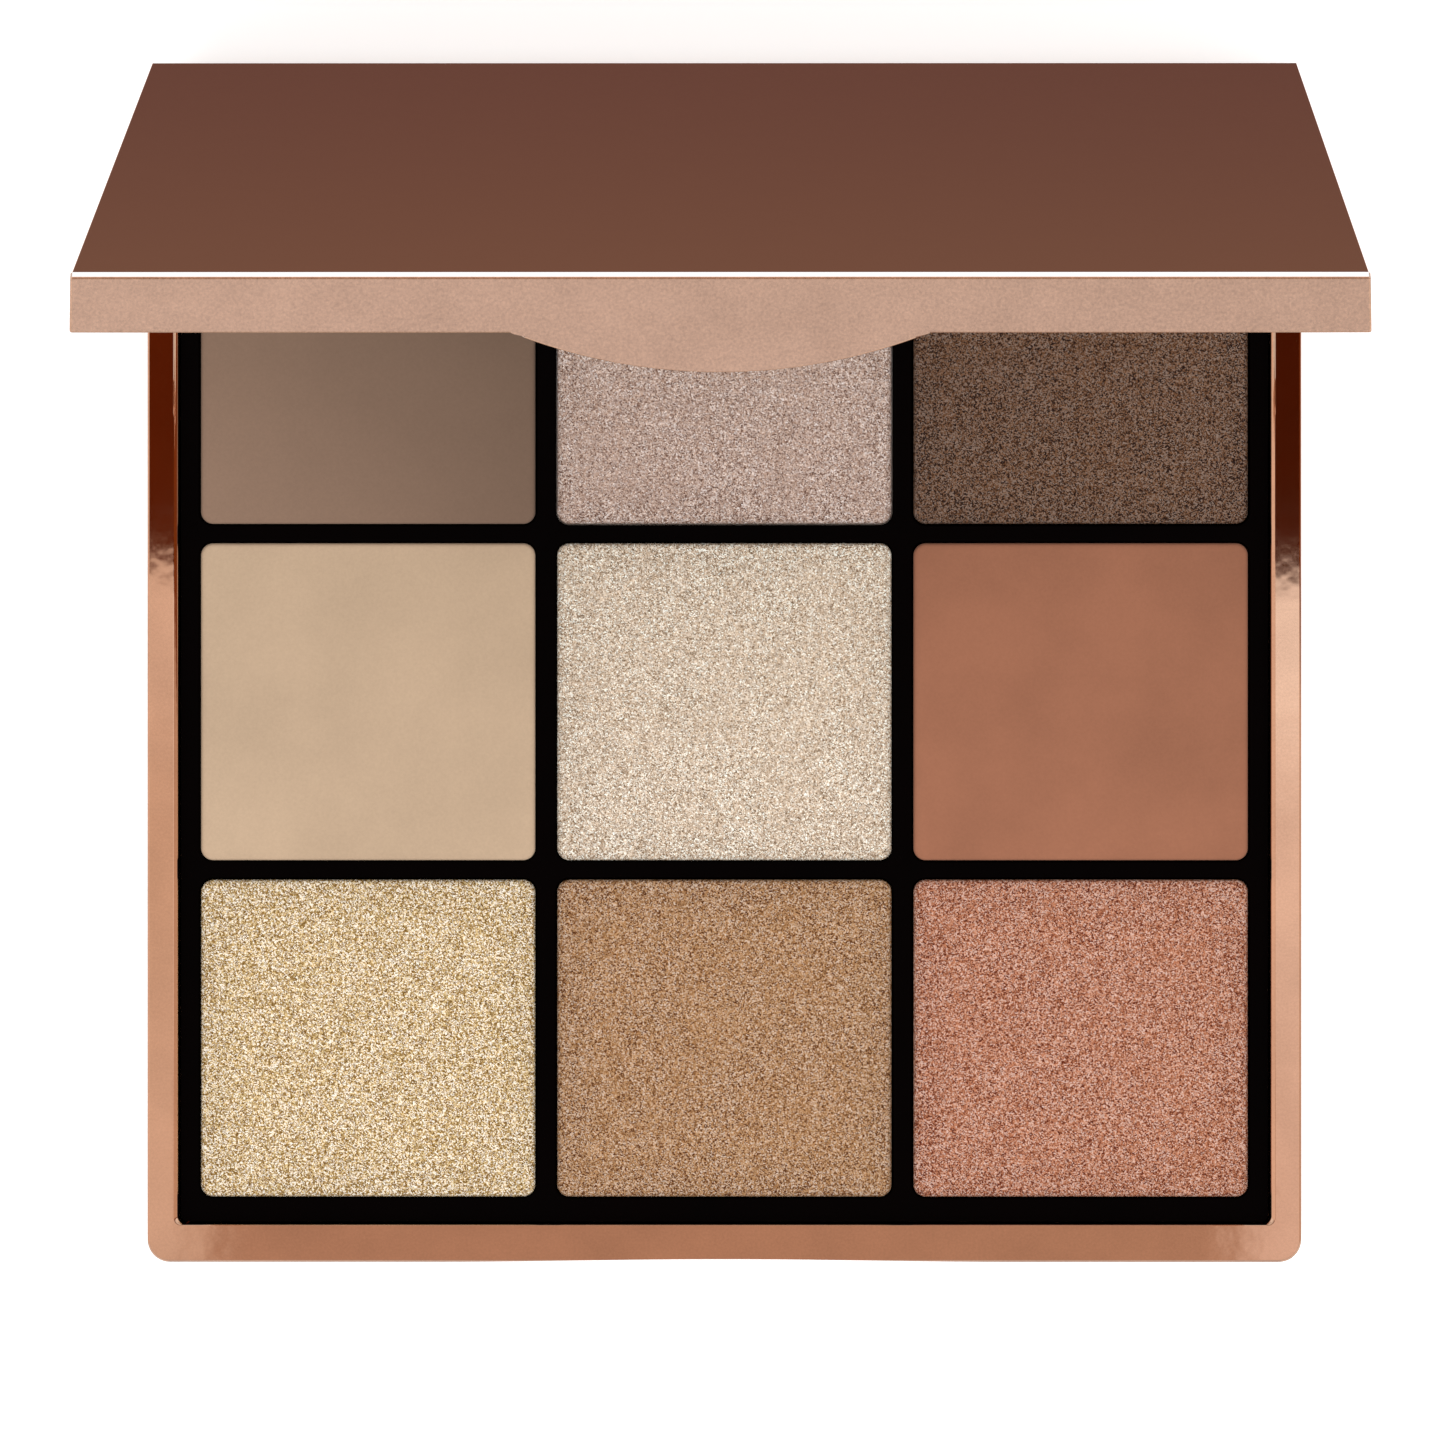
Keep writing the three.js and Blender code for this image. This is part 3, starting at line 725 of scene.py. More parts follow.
def mirror_glass():
    """Silvered mirror, all but perfectly smooth."""
    material, nodes, skin = start_material("mirror_silver")
    texture = nodes.add("ShaderNodeGroup", node_tree=grain_group())
    texture.inputs["Patch Scale"].default_value = 0.05
    film = nodes.spread(texture.outputs["Patches"], 0.35, 0.75, 0.0, 1.0)
    silver = linear("eef1f1")
    nodes.set(skin.inputs["Base Color"], nodes.mix(film, rgba(silver), rgba(silver, 0.97)))
    nodes.set(skin.inputs["Roughness"], nodes.spread(film, 0.0, 1.0, 0.008, 0.02))
    skin.inputs["Metallic"].default_value = 1.0
    return material


# ---------------------------------------------------------------- base

def opening_box(sizes):
    """The base's opening for the tray."""
    low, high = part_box("base_shell")
    return (
        Vector((low.x + sizes.side_rim, low.y + sizes.front_rim, sizes.floor)),
        Vector((high.x - sizes.side_rim, high.y - sizes.back_rim, sizes.rim_height)))


def swing_clearance(sizes):
    """The wedge behind the pins that the lid's back wall sweeps on its way to the stop."""
    low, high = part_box("base_shell")
    wall = closed_box("lid_shell")[1].y - HINGE_POINT.y + SWING_GAP
    opened = STOP_ANGLE - CLOSED_ANGLE
    foot = HINGE_POINT + Vector((0, wall * math.cos(opened), -wall * math.sin(opened)))
    margin = Vector((1, 1, 2)) * MM
    bm = rounded_block(
        Vector((low.x - margin.x, foot.y, sizes.floor)),
        Vector((high.x, high.y, sizes.rim_height)) + margin, 0)
    cut = bmesh.ops.bisect_plane(
        bm, geom=[*bm.verts, *bm.edges, *bm.faces], plane_co=foot,
        plane_no=(0, -math.cos(opened), math.sin(opened)), clear_inner=True)["geom_cut"]
    bmesh.ops.contextual_create(bm, geom=[g for g in cut if isinstance(g, bmesh.types.BMEdge)])
    bmesh.ops.recalc_face_normals(bm, faces=bm.faces)
    return bm


def front_scoop(sizes, steps=48, skim=0.004 * MM):
    """A very shallow hollow in the front wall behind the thumb lip, easing out at its ends."""
    low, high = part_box("base_shell")
    upright = Matrix.Rotation(math.radians(90), 4, "X")
    bm = bmesh.new()
    bmesh.ops.create_grid(bm, x_segments=steps, y_segments=1, size=0.5, matrix=upright)
    bmesh.ops.scale(bm, vec=(sizes.scoop_chord, 1, high.z + 2 * MM), verts=bm.verts)
    bmesh.ops.translate(bm, vec=(0, low.y - skim, high.z / 2), verts=bm.verts)
    for vertex in bm.verts:
        ease = math.cos(math.pi * vertex.co.x / sizes.scoop_chord) ** 2
        vertex.co.y += (sizes.scoop_depth + skim) * ease
    wall = bmesh.ops.extrude_face_region(bm, geom=list(bm.faces))["geom"]
    verts = [g for g in wall if isinstance(g, bmesh.types.BMVert)]
    bmesh.ops.translate(bm, vec=(0, -2 * MM, 0), verts=verts)
    bmesh.ops.recalc_face_normals(bm, faces=bm.faces)
    return bm


class PALETTE_OT_base(bpy.types.Operator):
    """Make the rose-gold base with its opening, hinge trough and ears"""

    bl_idname = "palette.base"
    bl_label = "Base shell"

    def execute(self, context):
        sizes = context.scene.palette_shells
        low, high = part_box("base_shell")
        high.z = sizes.rim_height
        base = new_object("base_case", rounded_block(
            low, high, sizes.base_corner, sizes.outer_round, sizes.outer_round))
        inside_low, inside_high = opening_box(sizes)
        inside_high.z -= sizes.round_depth
        opening = rounded_block(inside_low, inside_high, sizes.opening_corner)
        flare_top(opening, sizes.side_round, sizes.end_round, sizes.round_depth)
        combine(base, opening, "DIFFERENCE")
        label_low, label_high = grown(*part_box("underside_label"), LABEL_GAP)
        label_low.z -= OVERCUT
        combine(base, rounded_block(label_low, label_high, LABEL_CORNER), "DIFFERENCE")
        combine(base, front_scoop(sizes), "DIFFERENCE")
        groove = Vector((0, low.y + GROOVE_SINK, catch_height()))
        combine(base, rod(GROOVE_RADIUS, -GROOVE_HALF, GROOVE_HALF, groove, 32), "DIFFERENCE")
        combine(
            base, rod(sizes.trough, low.x - OVERCUT, high.x + OVERCUT, HINGE_POINT, 96),
            "DIFFERENCE")
        combine(base, swing_clearance(sizes), "DIFFERENCE")
        for side in (-1, 1):
            self.ear(base, sizes, high, side)
        clean(base)
        shade(base)
        dress(base, "base", "rose_gold", rose_gold("rose_gold_base"), "base_shell")
        return {"FINISHED"}

    @staticmethod
    def ear(base, sizes, high, side):
        """One of the base's two knuckles, on its web, with the bore for its pin."""
        inner = sizes.lid_knuckle_half + EAR_GAP
        outer = high.x - EAR_END
        x0, x1 = sorted((side * inner, side * outer))
        web_low = Vector((x0, HINGE_POINT.y - EAR_WEB_DEPTH, HINGE_POINT.z - EAR_WEB_DEPTH))
        web_high = Vector((x1, HINGE_POINT.y - EAR_WEB_FRONT, sizes.rim_height))
        combine(base, rounded_block(web_low, web_high, 0), "UNION")
        combine(base, rod(sizes.knuckle, x0, x1, HINGE_POINT, 64, KNUCKLE_CHAMFER), "UNION")
        combine(
            base, rod(sizes.bore, x0 - OVERCUT, x1 + OVERCUT, HINGE_POINT, 48), "DIFFERENCE")


# ---------------------------------------------------------------- tray and cakes

def outline(bm, low, high, z, corner=0.0, steps=8):
    """The edges of a level rectangle with round corners."""
    known = set(bm.faces)
    made = bmesh.ops.create_grid(bm, x_segments=1, y_segments=1, size=0.5)["verts"]
    size = Vector((high.x - low.x, high.y - low.y, 1))
    bmesh.ops.scale(bm, vec=size, verts=made)
    bmesh.ops.translate(
        bm, vec=Vector(((low.x + high.x) / 2, (low.y + high.y) / 2, z)), verts=made)
    if corner:
        bevel(bm, made, corner, steps, "VERTICES")
    face = next(f for f in bm.faces if f not in known)
    edges = list(face.edges)
    bmesh.ops.delete(bm, geom=[face], context="FACES_ONLY")
    return edges


class PALETTE_OT_tray(bpy.types.Operator):
    """Make the black tray with a window and a pocket for each pan"""

    bl_idname = "palette.tray"
    bl_label = "Pan tray"

    def execute(self, context):
        sizes = context.scene.palette_trays
        low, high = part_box("pan_tray")
        centres = [(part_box(f"shadow_{name}")[0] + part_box(f"shadow_{name}")[1]) / 2
                   for name in POCKETS]
        columns = sorted({round(c.x, 6) for c in centres})
        rows = sorted({round(c.y, 6) for c in centres})
        across = self.limits(columns, low.x, high.x)
        along = self.limits(rows, low.y, high.y)
        bm = bmesh.new()
        for name, centre in zip(POCKETS, centres):
            column = columns.index(round(centre.x, 6))
            row = rows.index(round(centre.y, 6))
            cell_low = Vector((across[column], along[row], low.z))
            cell_high = Vector((across[column + 1], along[row + 1], high.z))
            self.cell(bm, sizes, name, cell_low, cell_high)
        bmesh.ops.remove_doubles(bm, verts=bm.verts, dist=1e-6)
        rims = [e for e in bm.edges if e.is_boundary]
        bmesh.ops.bridge_loops(bm, edges=rims)
        corners = [e for e in bm.edges
                   if abs(abs(e.verts[0].co.x) - high.x) < 1e-6
                   and e.verts[0].co.y in (low.y, high.y)
                   and (e.verts[0].co - e.verts[1].co).xy.length < 1e-7]
        bmesh.ops.recalc_face_normals(bm, faces=bm.faces)
        if corners:
            bevel(bm, corners, TRAY_CORNER, 5)
        tray = new_object("pan_frame", bm)
        shade(tray)
        dress(tray, "base", "tray_black", black_plastic(), "pan_tray")
        return {"FINISHED"}

    @staticmethod
    def limits(centres, low, high):
        """The cell borders: the tray's edges, and midway between neighbours."""
        between = [(a + b) / 2 for a, b in zip(centres, centres[1:])]
        return [low, *between, high]

    @staticmethod
    def cell(bm, sizes, name, low, high):
        """One pocket: a window through the lip and a wider well for the pan under it."""
        cake_low, cake_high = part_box(f"shadow_{name}")
        lip_z = high.z - sizes.lip
        soft = sizes.window_round
        rings = [outline(bm, low, high, high.z)]
        for step in range(4):
            turn = math.radians(30) * step
            margin = sizes.window_gap + soft * (1 - math.sin(turn))
            z = high.z - soft * (1 - math.cos(turn))
            corner = sizes.cake_corner + margin
            rings.append(outline(bm, *grown(cake_low, cake_high, margin), z, corner))
        for margin, z in (
                (sizes.window_gap, lip_z), (sizes.pocket_gap, lip_z), (sizes.pocket_gap, low.z)):
            corner = sizes.cake_corner + margin
            rings.append(outline(bm, *grown(cake_low, cake_high, margin), z, corner))
        rings.append(outline(bm, low, high, low.z))
        for upper, lower in zip(rings, rings[1:]):
            bmesh.ops.bridge_loops(bm, edges=upper + lower)


def cake_mesh(name, sizes, relief, seed):
    """A pressed cake: a fine top with a rounded edge and a faint relief, on straight sides."""
    low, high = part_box(name)
    half = (high - low) / 2
    middle = (high + low) / 2
    corner, edge = sizes.cake_corner, sizes.cake_edge
    bm = bmesh.new()
    bmesh.ops.create_grid(
        bm, x_segments=sizes.cake_steps, y_segments=sizes.cake_steps, size=1.0)
    distances = bm.verts.layers.float.new("rim_distance")
    crowd = 0.32
    for vertex in bm.verts:
        u, v = ((1 + crowd) * t - crowd * t ** 3 for t in (vertex.co.x, vertex.co.y))
        x, y = u * half.x, v * half.y
        over_x = abs(x) - (half.x - corner)
        over_y = abs(y) - (half.y - corner)
        distance = min(half.x - abs(x), half.y - abs(y))
        if over_x > 0 and over_y > 0:
            pull = max(over_x, over_y) / math.hypot(over_x, over_y)
            x = math.copysign(half.x - corner + over_x * pull, x)
            y = math.copysign(half.y - corner + over_y * pull, y)
            distance = corner - max(over_x, over_y)
        drop = 0.0
        if distance < edge:
            drop = edge - math.sqrt(max(edge ** 2 - (edge - distance) ** 2, 0.0))
        place = Vector((middle.x + x, middle.y + y, 0))
        broad = noise.fractal(place * 90 + Vector((seed, 0, 0)), 1.0, 2.0, 3)
        fine = noise.noise(place * 2600 + Vector((0, seed, 0)))
        inside = min(distance / edge, 1.0)
        swell = (0.35 * broad + 0.65 * fine) * relief * inside
        vertex.co = (place.x, place.y, high.z - CAKE_SINK - drop + swell)
        vertex[distances] = distance / MM
    rim = [e for e in bm.edges if e.is_boundary]
    walls = bmesh.ops.extrude_edge_only(bm, edges=rim)["geom"]
    foot = [g for g in walls if isinstance(g, bmesh.types.BMVert)]
    for vertex in foot:
        vertex.co.z = low.z
    bmesh.ops.contextual_create(bm, geom=[e for e in bm.edges if e.is_boundary])
    bmesh.ops.recalc_face_normals(bm, faces=bm.faces)
    return bm


# Each pocket's matte powder: record slot, relief in mm, cloudiness, and lean across and along, a
# painted shade where the light falls off.
MATTES = {
    "back_left": ("shadow_taupe", 0.008, 0.03, (-0.2, -0.11)),
    "middle_left": ("shadow_cream", 0.008, 0.045, (-0.015, -0.01)),
    "middle_right": ("shadow_terracotta", 0.008, 0.07, (-0.015, -0.05)),
}

# Each pocket's shimmer: slot, relief in mm, lean (a painted shade where the light falls off over
# the cake), flakes per mm, contrast, share of metal, and how white its brightest flakes are
# painted, as glints.
SHIMMERS = {
    "back_centre": ("shadow_pink_silver", 0.02, (0.0, 0.0), 12.0, 1.35, 0.6, 1.0),
    "back_right": ("shadow_dark_brown", 0.02, (0.0, 0.0), 12.0, 2.5, 0.5, 1.0),
    "middle_centre": ("shadow_champagne", 0.02, (0.0, -0.03), 12.0, 1.4, 0.6, 1.0),
    "front_left": ("shadow_gold", 0.03, (0.0, 0.0), 12.0, 3.0, 0.8, 1.3),
    "front_centre": ("shadow_bronze", 0.02, (0.0, 0.0), 12.0, 1.8, 0.6, 1.0),
    "front_right": ("shadow_rose", 0.02, (0.0, 0.0), 12.0, 2.0, 0.6, 1.0),
}


class PALETTE_OT_cakes(bpy.types.Operator):
    """Make the nine pressed powder cakes"""

    bl_idname = "palette.cakes"
    bl_label = "Powder cakes"

    def execute(self, context):
        sizes = context.scene.palette_trays
        shades = context.scene.palette_shades
        for index, name in enumerate(POCKETS):
            node = f"shadow_{name}"
            base = getattr(shades, name)
            if name in MATTES:
                slot, relief, drift, lean = MATTES[name]
                material = matte_powder(slot, base, node, drift, lean)
            else:
                slot, relief, lean, *flakes = SHIMMERS[name]
                material = shimmer_powder(slot, base, node, lean, *flakes)
            cake = new_object(f"cake_{name}", cake_mesh(node, sizes, relief * MM, index * 7.3))
            for polygon in cake.data.polygons:
                polygon.use_smooth = len(polygon.vertices) == 4
            dress(cake, "base", slot, material, node)
        return {"FINISHED"}


class PALETTE_OT_pans(bpy.types.Operator):
    """Finish the tin pans, their glue dots and the mirror's tape"""

    bl_idname = "palette.pans"
    bl_label = "Pans and glue"

    def execute(self, context):
        tin = plain_metal("tin_plate", linear("b9b7b2"), 0.35, 0.3)
        glue = soft_material("tape", linear("d8d4c8"), 0.8, 0.4, 2.0)
        for name in POCKETS:
            self.finish(f"pan_{name}", tin)
            self.finish(f"glue_dot_{name}", glue)
        self.finish("mirror_tape", glue)
        return {"FINISHED"}

    @staticmethod
    def finish(node, material):
        materials = frame["nodes"][node].data.materials
        materials.clear()
        materials.append(material)


# ---------------------------------------------------------------- lid

def thumb_lip(sizes, low):
    """The curved tongue at the lid's front, with its root inside the front wall."""
    half, drop = sizes.lip_chord / 2, sizes.lip_drop
    radius = (half ** 2 + drop ** 2) / (2 * drop)
    rim_z = low.z + drop
    bm = bmesh.new()
    bmesh.ops.create_circle(
        bm, cap_ends=True, segments=320, radius=radius,
        matrix=Matrix.Rotation(math.radians(90), 4, "X"))
    bmesh.ops.translate(bm, vec=(0, low.y, low.z + radius), verts=bm.verts)
    bmesh.ops.bisect_plane(
        bm, geom=[*bm.verts, *bm.edges, *bm.faces], plane_co=(0, 0, rim_z),
        plane_no=(0, 0, 1), clear_outer=True)
    chord = [e for e in bm.edges if all(abs(v.co.z - rim_z) < 1e-7 for v in e.verts)]
    root = bmesh.ops.extrude_edge_only(bm, edges=chord)["geom"]
    verts = [g for g in root if isinstance(g, bmesh.types.BMVert)]
    bmesh.ops.translate(bm, vec=(0, 0, 1 * MM), verts=verts)
    face = bmesh.ops.extrude_face_region(bm, geom=list(bm.faces))["geom"]
    verts = [g for g in face if isinstance(g, bmesh.types.BMVert)]
    bmesh.ops.translate(bm, vec=(0, sizes.lip_thickness, 0), verts=verts)
    bmesh.ops.recalc_face_normals(bm, faces=bm.faces)
    return bm


def soften_lip(lid, sizes, low, width=0.12 * MM, steps=3):
    """Rounds both long edges of the thumb lip."""
    rim_z = low.z + sizes.lip_drop
    faces_y = (low.y, low.y + sizes.lip_thickness)
    bm = bmesh.new()
    bm.from_mesh(lid.data)
    edges = [e for e in bm.edges
             if all(v.co.z < rim_z - 2 * width for v in e.verts)
             and any(all(abs(v.co.y - y) < 1e-6 for v in e.verts) for y in faces_y)
             and len(e.link_faces) == 2 and e.calc_face_angle() > 1]
    bevel(bm, edges, width, steps)
    bm.to_mesh(lid.data)
    bm.free()


class PALETTE_OT_lid(bpy.types.Operator):
    """Make the rose-gold lid with its thumb lip, mirror recess and hinge knuckle"""

    bl_idname = "palette.lid"
    bl_label = "Lid shell"

    def execute(self, context):
        sizes = context.scene.palette_shells
        low, high = closed_box("lid_shell")
        mirror_low, mirror_high = closed_box("mirror")
        rim_z = high.z - LID_WALL
        body_low = Vector((low.x, low.y, rim_z))
        block = rounded_block(body_low, high, 0)
        for z, width, steps in (
                (high.z, sizes.lid_chamfer, 1),
                (high.z - sizes.lid_chamfer, sizes.chamfer_round, 3)):
            front = [e for e in level_edges(block, z)
                     if all(v.co.y < low.y + 1e-7 for v in e.verts)]
            bevel(block, front, width, steps)
        back = [e for e in level_edges(block, high.z)
                if all(v.co.y > high.y - 1e-7 for v in e.verts)]
        bevel(block, back, sizes.lid_back_round, 5)
        block.normal_update()
        square = [e for e in block.edges if e.calc_face_angle() > math.radians(80)]
        bevel(block, square, sizes.lid_round, 4)
        for vertex in block.verts:
            rise = (vertex.co.z - rim_z) / (high.z - rim_z)
            vertex.co.x -= math.copysign(sizes.lid_draft * rise, vertex.co.x)
        lid = new_object("lid_case", block)
        recess_low, recess_high = grown(mirror_low, mirror_high, MIRROR_GAP)
        recess = self.recess(recess_low, recess_high, rim_z, high.z - sizes.lid_plate)
        combine(lid, recess, "DIFFERENCE")
        inner = sizes.lid_knuckle_half
        for side in (-1, 1):
            x0, x1 = sorted((side * (inner + EAR_TROUGH_GAP), side * (high.x + OVERCUT)))
            combine(lid, rod(EAR_TROUGH, x0, x1, HINGE_POINT, 64), "DIFFERENCE")
        combine(lid, rod(sizes.knuckle, -inner, inner, HINGE_POINT, 64, KNUCKLE_CHAMFER), "UNION")
        for side in (-1, 1):
            x0, x1 = sorted((side * PIN_INNER_END, side * (inner + PIN_END_GAP)))
            combine(lid, rod(sizes.bore + PIN_PLAY, x0, x1, HINGE_POINT, 48), "DIFFERENCE")
        combine(lid, thumb_lip(sizes, low), "UNION")
        bead = Vector((0, low.y + sizes.lip_thickness - BEAD_SINK, catch_height()))
        combine(lid, rod(BEAD_RADIUS, -BEAD_HALF, BEAD_HALF, bead, 32, BEAD_CHAMFER), "UNION")
        clean(lid)
        soften_lip(lid, sizes, low)
        self.finish(lid, high)
        return {"FINISHED"}

    @staticmethod
    def recess(low, high, rim_z, ceiling):
        """The mirror's pocket, opened from below with a soft edge at the rim."""
        soft = RECESS_ROUND
        flip = Matrix.Scale(-1, 4, (0, 0, 1))
        upside_low = Vector((low.x, low.y, -ceiling))
        upside_high = Vector((high.x, high.y, -(rim_z + soft)))
        bm = rounded_block(upside_low, upside_high, RECESS_CORNER)
        flare_top(bm, soft, soft, soft)
        bmesh.ops.transform(bm, matrix=flip, verts=bm.verts)
        bmesh.ops.recalc_face_normals(bm, faces=bm.faces)
        return bm

    @staticmethod
    def finish(lid, high):
        """Satin walls, polished outer face and a paler metal on the edge chamfers, a painted
        highlight; then opens the lid to its rest.
        """
        lid.data.materials.clear()
        for name in ("rose_gold_satin", "rose_gold_polished", "cut_edge"):
            lid.data.materials.append(rose_gold(name))
        for polygon in lid.data.polygons:
            if polygon.center.z > high.z - 0.35 * MM and polygon.normal.z > 0.62:
                polygon.material_index = 1 if polygon.normal.z > 0.95 else 2
        lid.data.transform(turned(-CLOSED_ANGLE))
        shade(lid)
        dress(lid, "lid", "rose_gold", None, "lid_shell")


class PALETTE_OT_mirror(bpy.types.Operator):
    """Make the mirror with its ground edge"""

    bl_idname = "palette.mirror"
    bl_label = "Mirror"

    def execute(self, context):
        low, high = closed_box("mirror")
        plate = rounded_block(low, high, 0.6 * MM, 0.1 * MM, 0.25 * MM, 6, 3)
        mirror = new_object("mirror_plate", plate)
        mirror.data.transform(turned(-CLOSED_ANGLE))
        shade(mirror, 20)
        dress(mirror, "lid", "mirror", mirror_glass(), "mirror")
        return {"FINISHED"}


class PALETTE_OT_pins(bpy.types.Operator):
    """Make the two steel hinge pins"""

    bl_idname = "palette.pins"
    bl_label = "Hinge pins"

    def execute(self, context):
        steel = plain_metal("steel", linear("9a9a98"), 0.28, 0.5)
        for side in ("left", "right"):
            node = f"hinge_pin_{side}"
            low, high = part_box(node)
            pin = rod((high.z - low.z) / 2, low.x, high.x, HINGE_POINT, 40, 0.1 * MM)
            made = new_object(f"pin_{side}", pin)
            shade(made)
            dress(made, "base", "steel", steel, node)
        return {"FINISHED"}


class PALETTE_OT_label(bpy.types.Operator):
    """Make the blank label under the base"""

    bl_idname = "palette.label"
    bl_label = "Underside label"

    def execute(self, context):
        low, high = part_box("underside_label")
        sheet = rounded_block(low, high, LABEL_CORNER, 0, 0.04 * MM, 10, 2)
        label = new_object("blank_label", sheet)
        shade(label)
        paper = soft_material("label_paper", linear("e9e4de"), 0.55, 0.2, 6.0)
        dress(label, "base", "label", paper, "underside_label")
        return {"FINISHED"}


# ---------------------------------------------------------------- studio

def ramp(nodes, value, stops):
    """A colour that runs through stops of (place, colour), with the value in between."""
    result = stops[0][1]
    for (low, _), (high, tint) in zip(stops, stops[1:]):
        result = nodes.mix(nodes.spread(value, low, high, 0, 1, "SMOOTHSTEP"), result, tint)
    return result


# The overhead strip's left end, right end and middle, by a direction's part along X, and how
# many degrees its bands run askew.
STRIP_LEFT = -0.062
STRIP_RIGHT = 0.056
STRIP_MIDDLE = -0.0031
STRIP_SKEW = -0.08

# What polished metal sees, by its angle in degrees from straight up towards the hinge: seen
# to the left of the camera, seen to its right.
REFLECTED = (
    (-120, (0.55, 0.51, 0.49, 1), (0.55, 0.51, 0.49, 1)),
    (-70, (0.60, 0.60, 0.62, 1), (0.60, 0.60, 0.62, 1)),
    (-22, (0.775, 0.80, 0.87, 1), (0.665, 0.685, 0.745, 1)),
    (-16, (0.40, 0.30, 0.25, 1), (0.40, 0.30, 0.25, 1)),
    (-4, (0.40, 0.30, 0.25, 1), (0.40, 0.30, 0.25, 1)),
    (-3.2, (0.78, 0.66, 0.59, 1), (0.84, 0.72, 0.68, 1)),
    (-0.8, (0.71, 0.57, 0.48, 1), (0.89, 0.80, 0.77, 1)),
    (0.45, (0.80, 0.68, 0.61, 1), (1.05, 1.04, 1.05, 1)),
    (0.8, (0.80, 0.68, 0.61, 1), (1.05, 1.04, 1.05, 1)),
    (0.95, (0.105, 0.018, 0.003, 1), (0.065, 0.011, 0.002, 1)),
    (4.6, (0.105, 0.018, 0.003, 1), (0.065, 0.011, 0.002, 1)),
    (9, (0.40, 0.28, 0.22, 1), (0.40, 0.28, 0.22, 1)),
    (26, (0.50, 0.38, 0.32, 1), (0.50, 0.38, 0.32, 1)),
    (46, (0.60, 0.50, 0.45, 1), (0.60, 0.50, 0.45, 1)),
    (57, (1.25, 1.25, 1.28, 1), (1.25, 1.25, 1.28, 1)),
    (72, (1.25, 1.25, 1.28, 1), (1.25, 1.25, 1.28, 1)),
    (80, (0.98, 0.96, 0.95, 1), (0.98, 0.96, 0.95, 1)),
    (104, (0.85, 0.82, 0.80, 1), (0.85, 0.82, 0.80, 1)),
    (135, (0.50, 0.42, 0.38, 1), (0.50, 0.42, 0.38, 1)),
    (150, (0.23, 0.14, 0.09, 1), (0.23, 0.14, 0.09, 1)),
    (155.4, (0.225, 0.129, 0.088, 1), (0.225, 0.129, 0.088, 1)),
    (158.2, (0.140, 0.065, 0.056, 1), (0.140, 0.065, 0.056, 1)),
)

# What it sees far to either side of the strip above, by the height of the direction.
BESIDE = (
    (-0.9, (0.42, 0.38, 0.36, 1)),
    (-0.15, (0.66, 0.62, 0.60, 1)),
    (0.1, (0.80, 0.77, 0.75, 1)),
    (0.5, (0.95, 0.94, 0.93, 1)),
    (0.8, (0.80, 0.77, 0.75, 1)),
    (0.93, (0.62, 0.59, 0.58, 1)),
)


def overhead_strip(nodes, part, degrees):
    """The band from front to back over the palette, which differs from left to right."""
    aside = nodes.spread(part.outputs["X"], STRIP_LEFT, STRIP_RIGHT, 0, 1)
    left = ramp(nodes, degrees, [(place, tint) for place, tint, _ in REFLECTED])
    right = ramp(nodes, degrees, [(place, tint) for place, _, tint in REFLECTED])
    return nodes.mix(aside, left, right)


def front_rim_zone(nodes, off_middle, degrees):
    """Where the front rim looks, between its two corners."""
    ahead = nodes.math(
        "MULTIPLY", nodes.spread(degrees, -2.2, -1.9, 1, 0),
        nodes.spread(degrees, -12, -8, 0, 1))
    return nodes.math(
        "MULTIPLY", nodes.spread(off_middle, 0.051, 0.0575, 1, 0, "SMOOTHSTEP"), ahead)


def level_zone(nodes, part):
    """Directions to the left and right that are neither far to the front nor to the back."""
    upper = nodes.spread(part.outputs["Z"], -0.05, 0.1, 0, 1)
    amid = nodes.spread(nodes.math("ABSOLUTE", part.outputs["Y"]), 0.08, 0.16, 1, 0)
    return nodes.math("MULTIPLY", upper, amid)


def beside_zone(nodes, off_middle, level):
    """Directions well off the overhead strip, apart from the level zone."""
    off_strip = nodes.spread(off_middle, 0.1, 0.2, 0, 1, "SMOOTHSTEP")
    return nodes.math("MULTIPLY", off_strip, nodes.math("SUBTRACT", 1.0, level))


def floor_ends_zone(nodes, part, off_middle):
    """Directions steeply down, to the left and right of the palette."""
    return nodes.math(
        "MULTIPLY", nodes.spread(off_middle, 0.09, 0.13, 0, 1),
        nodes.spread(part.outputs["Z"], -0.85, -0.75, 1, 0))


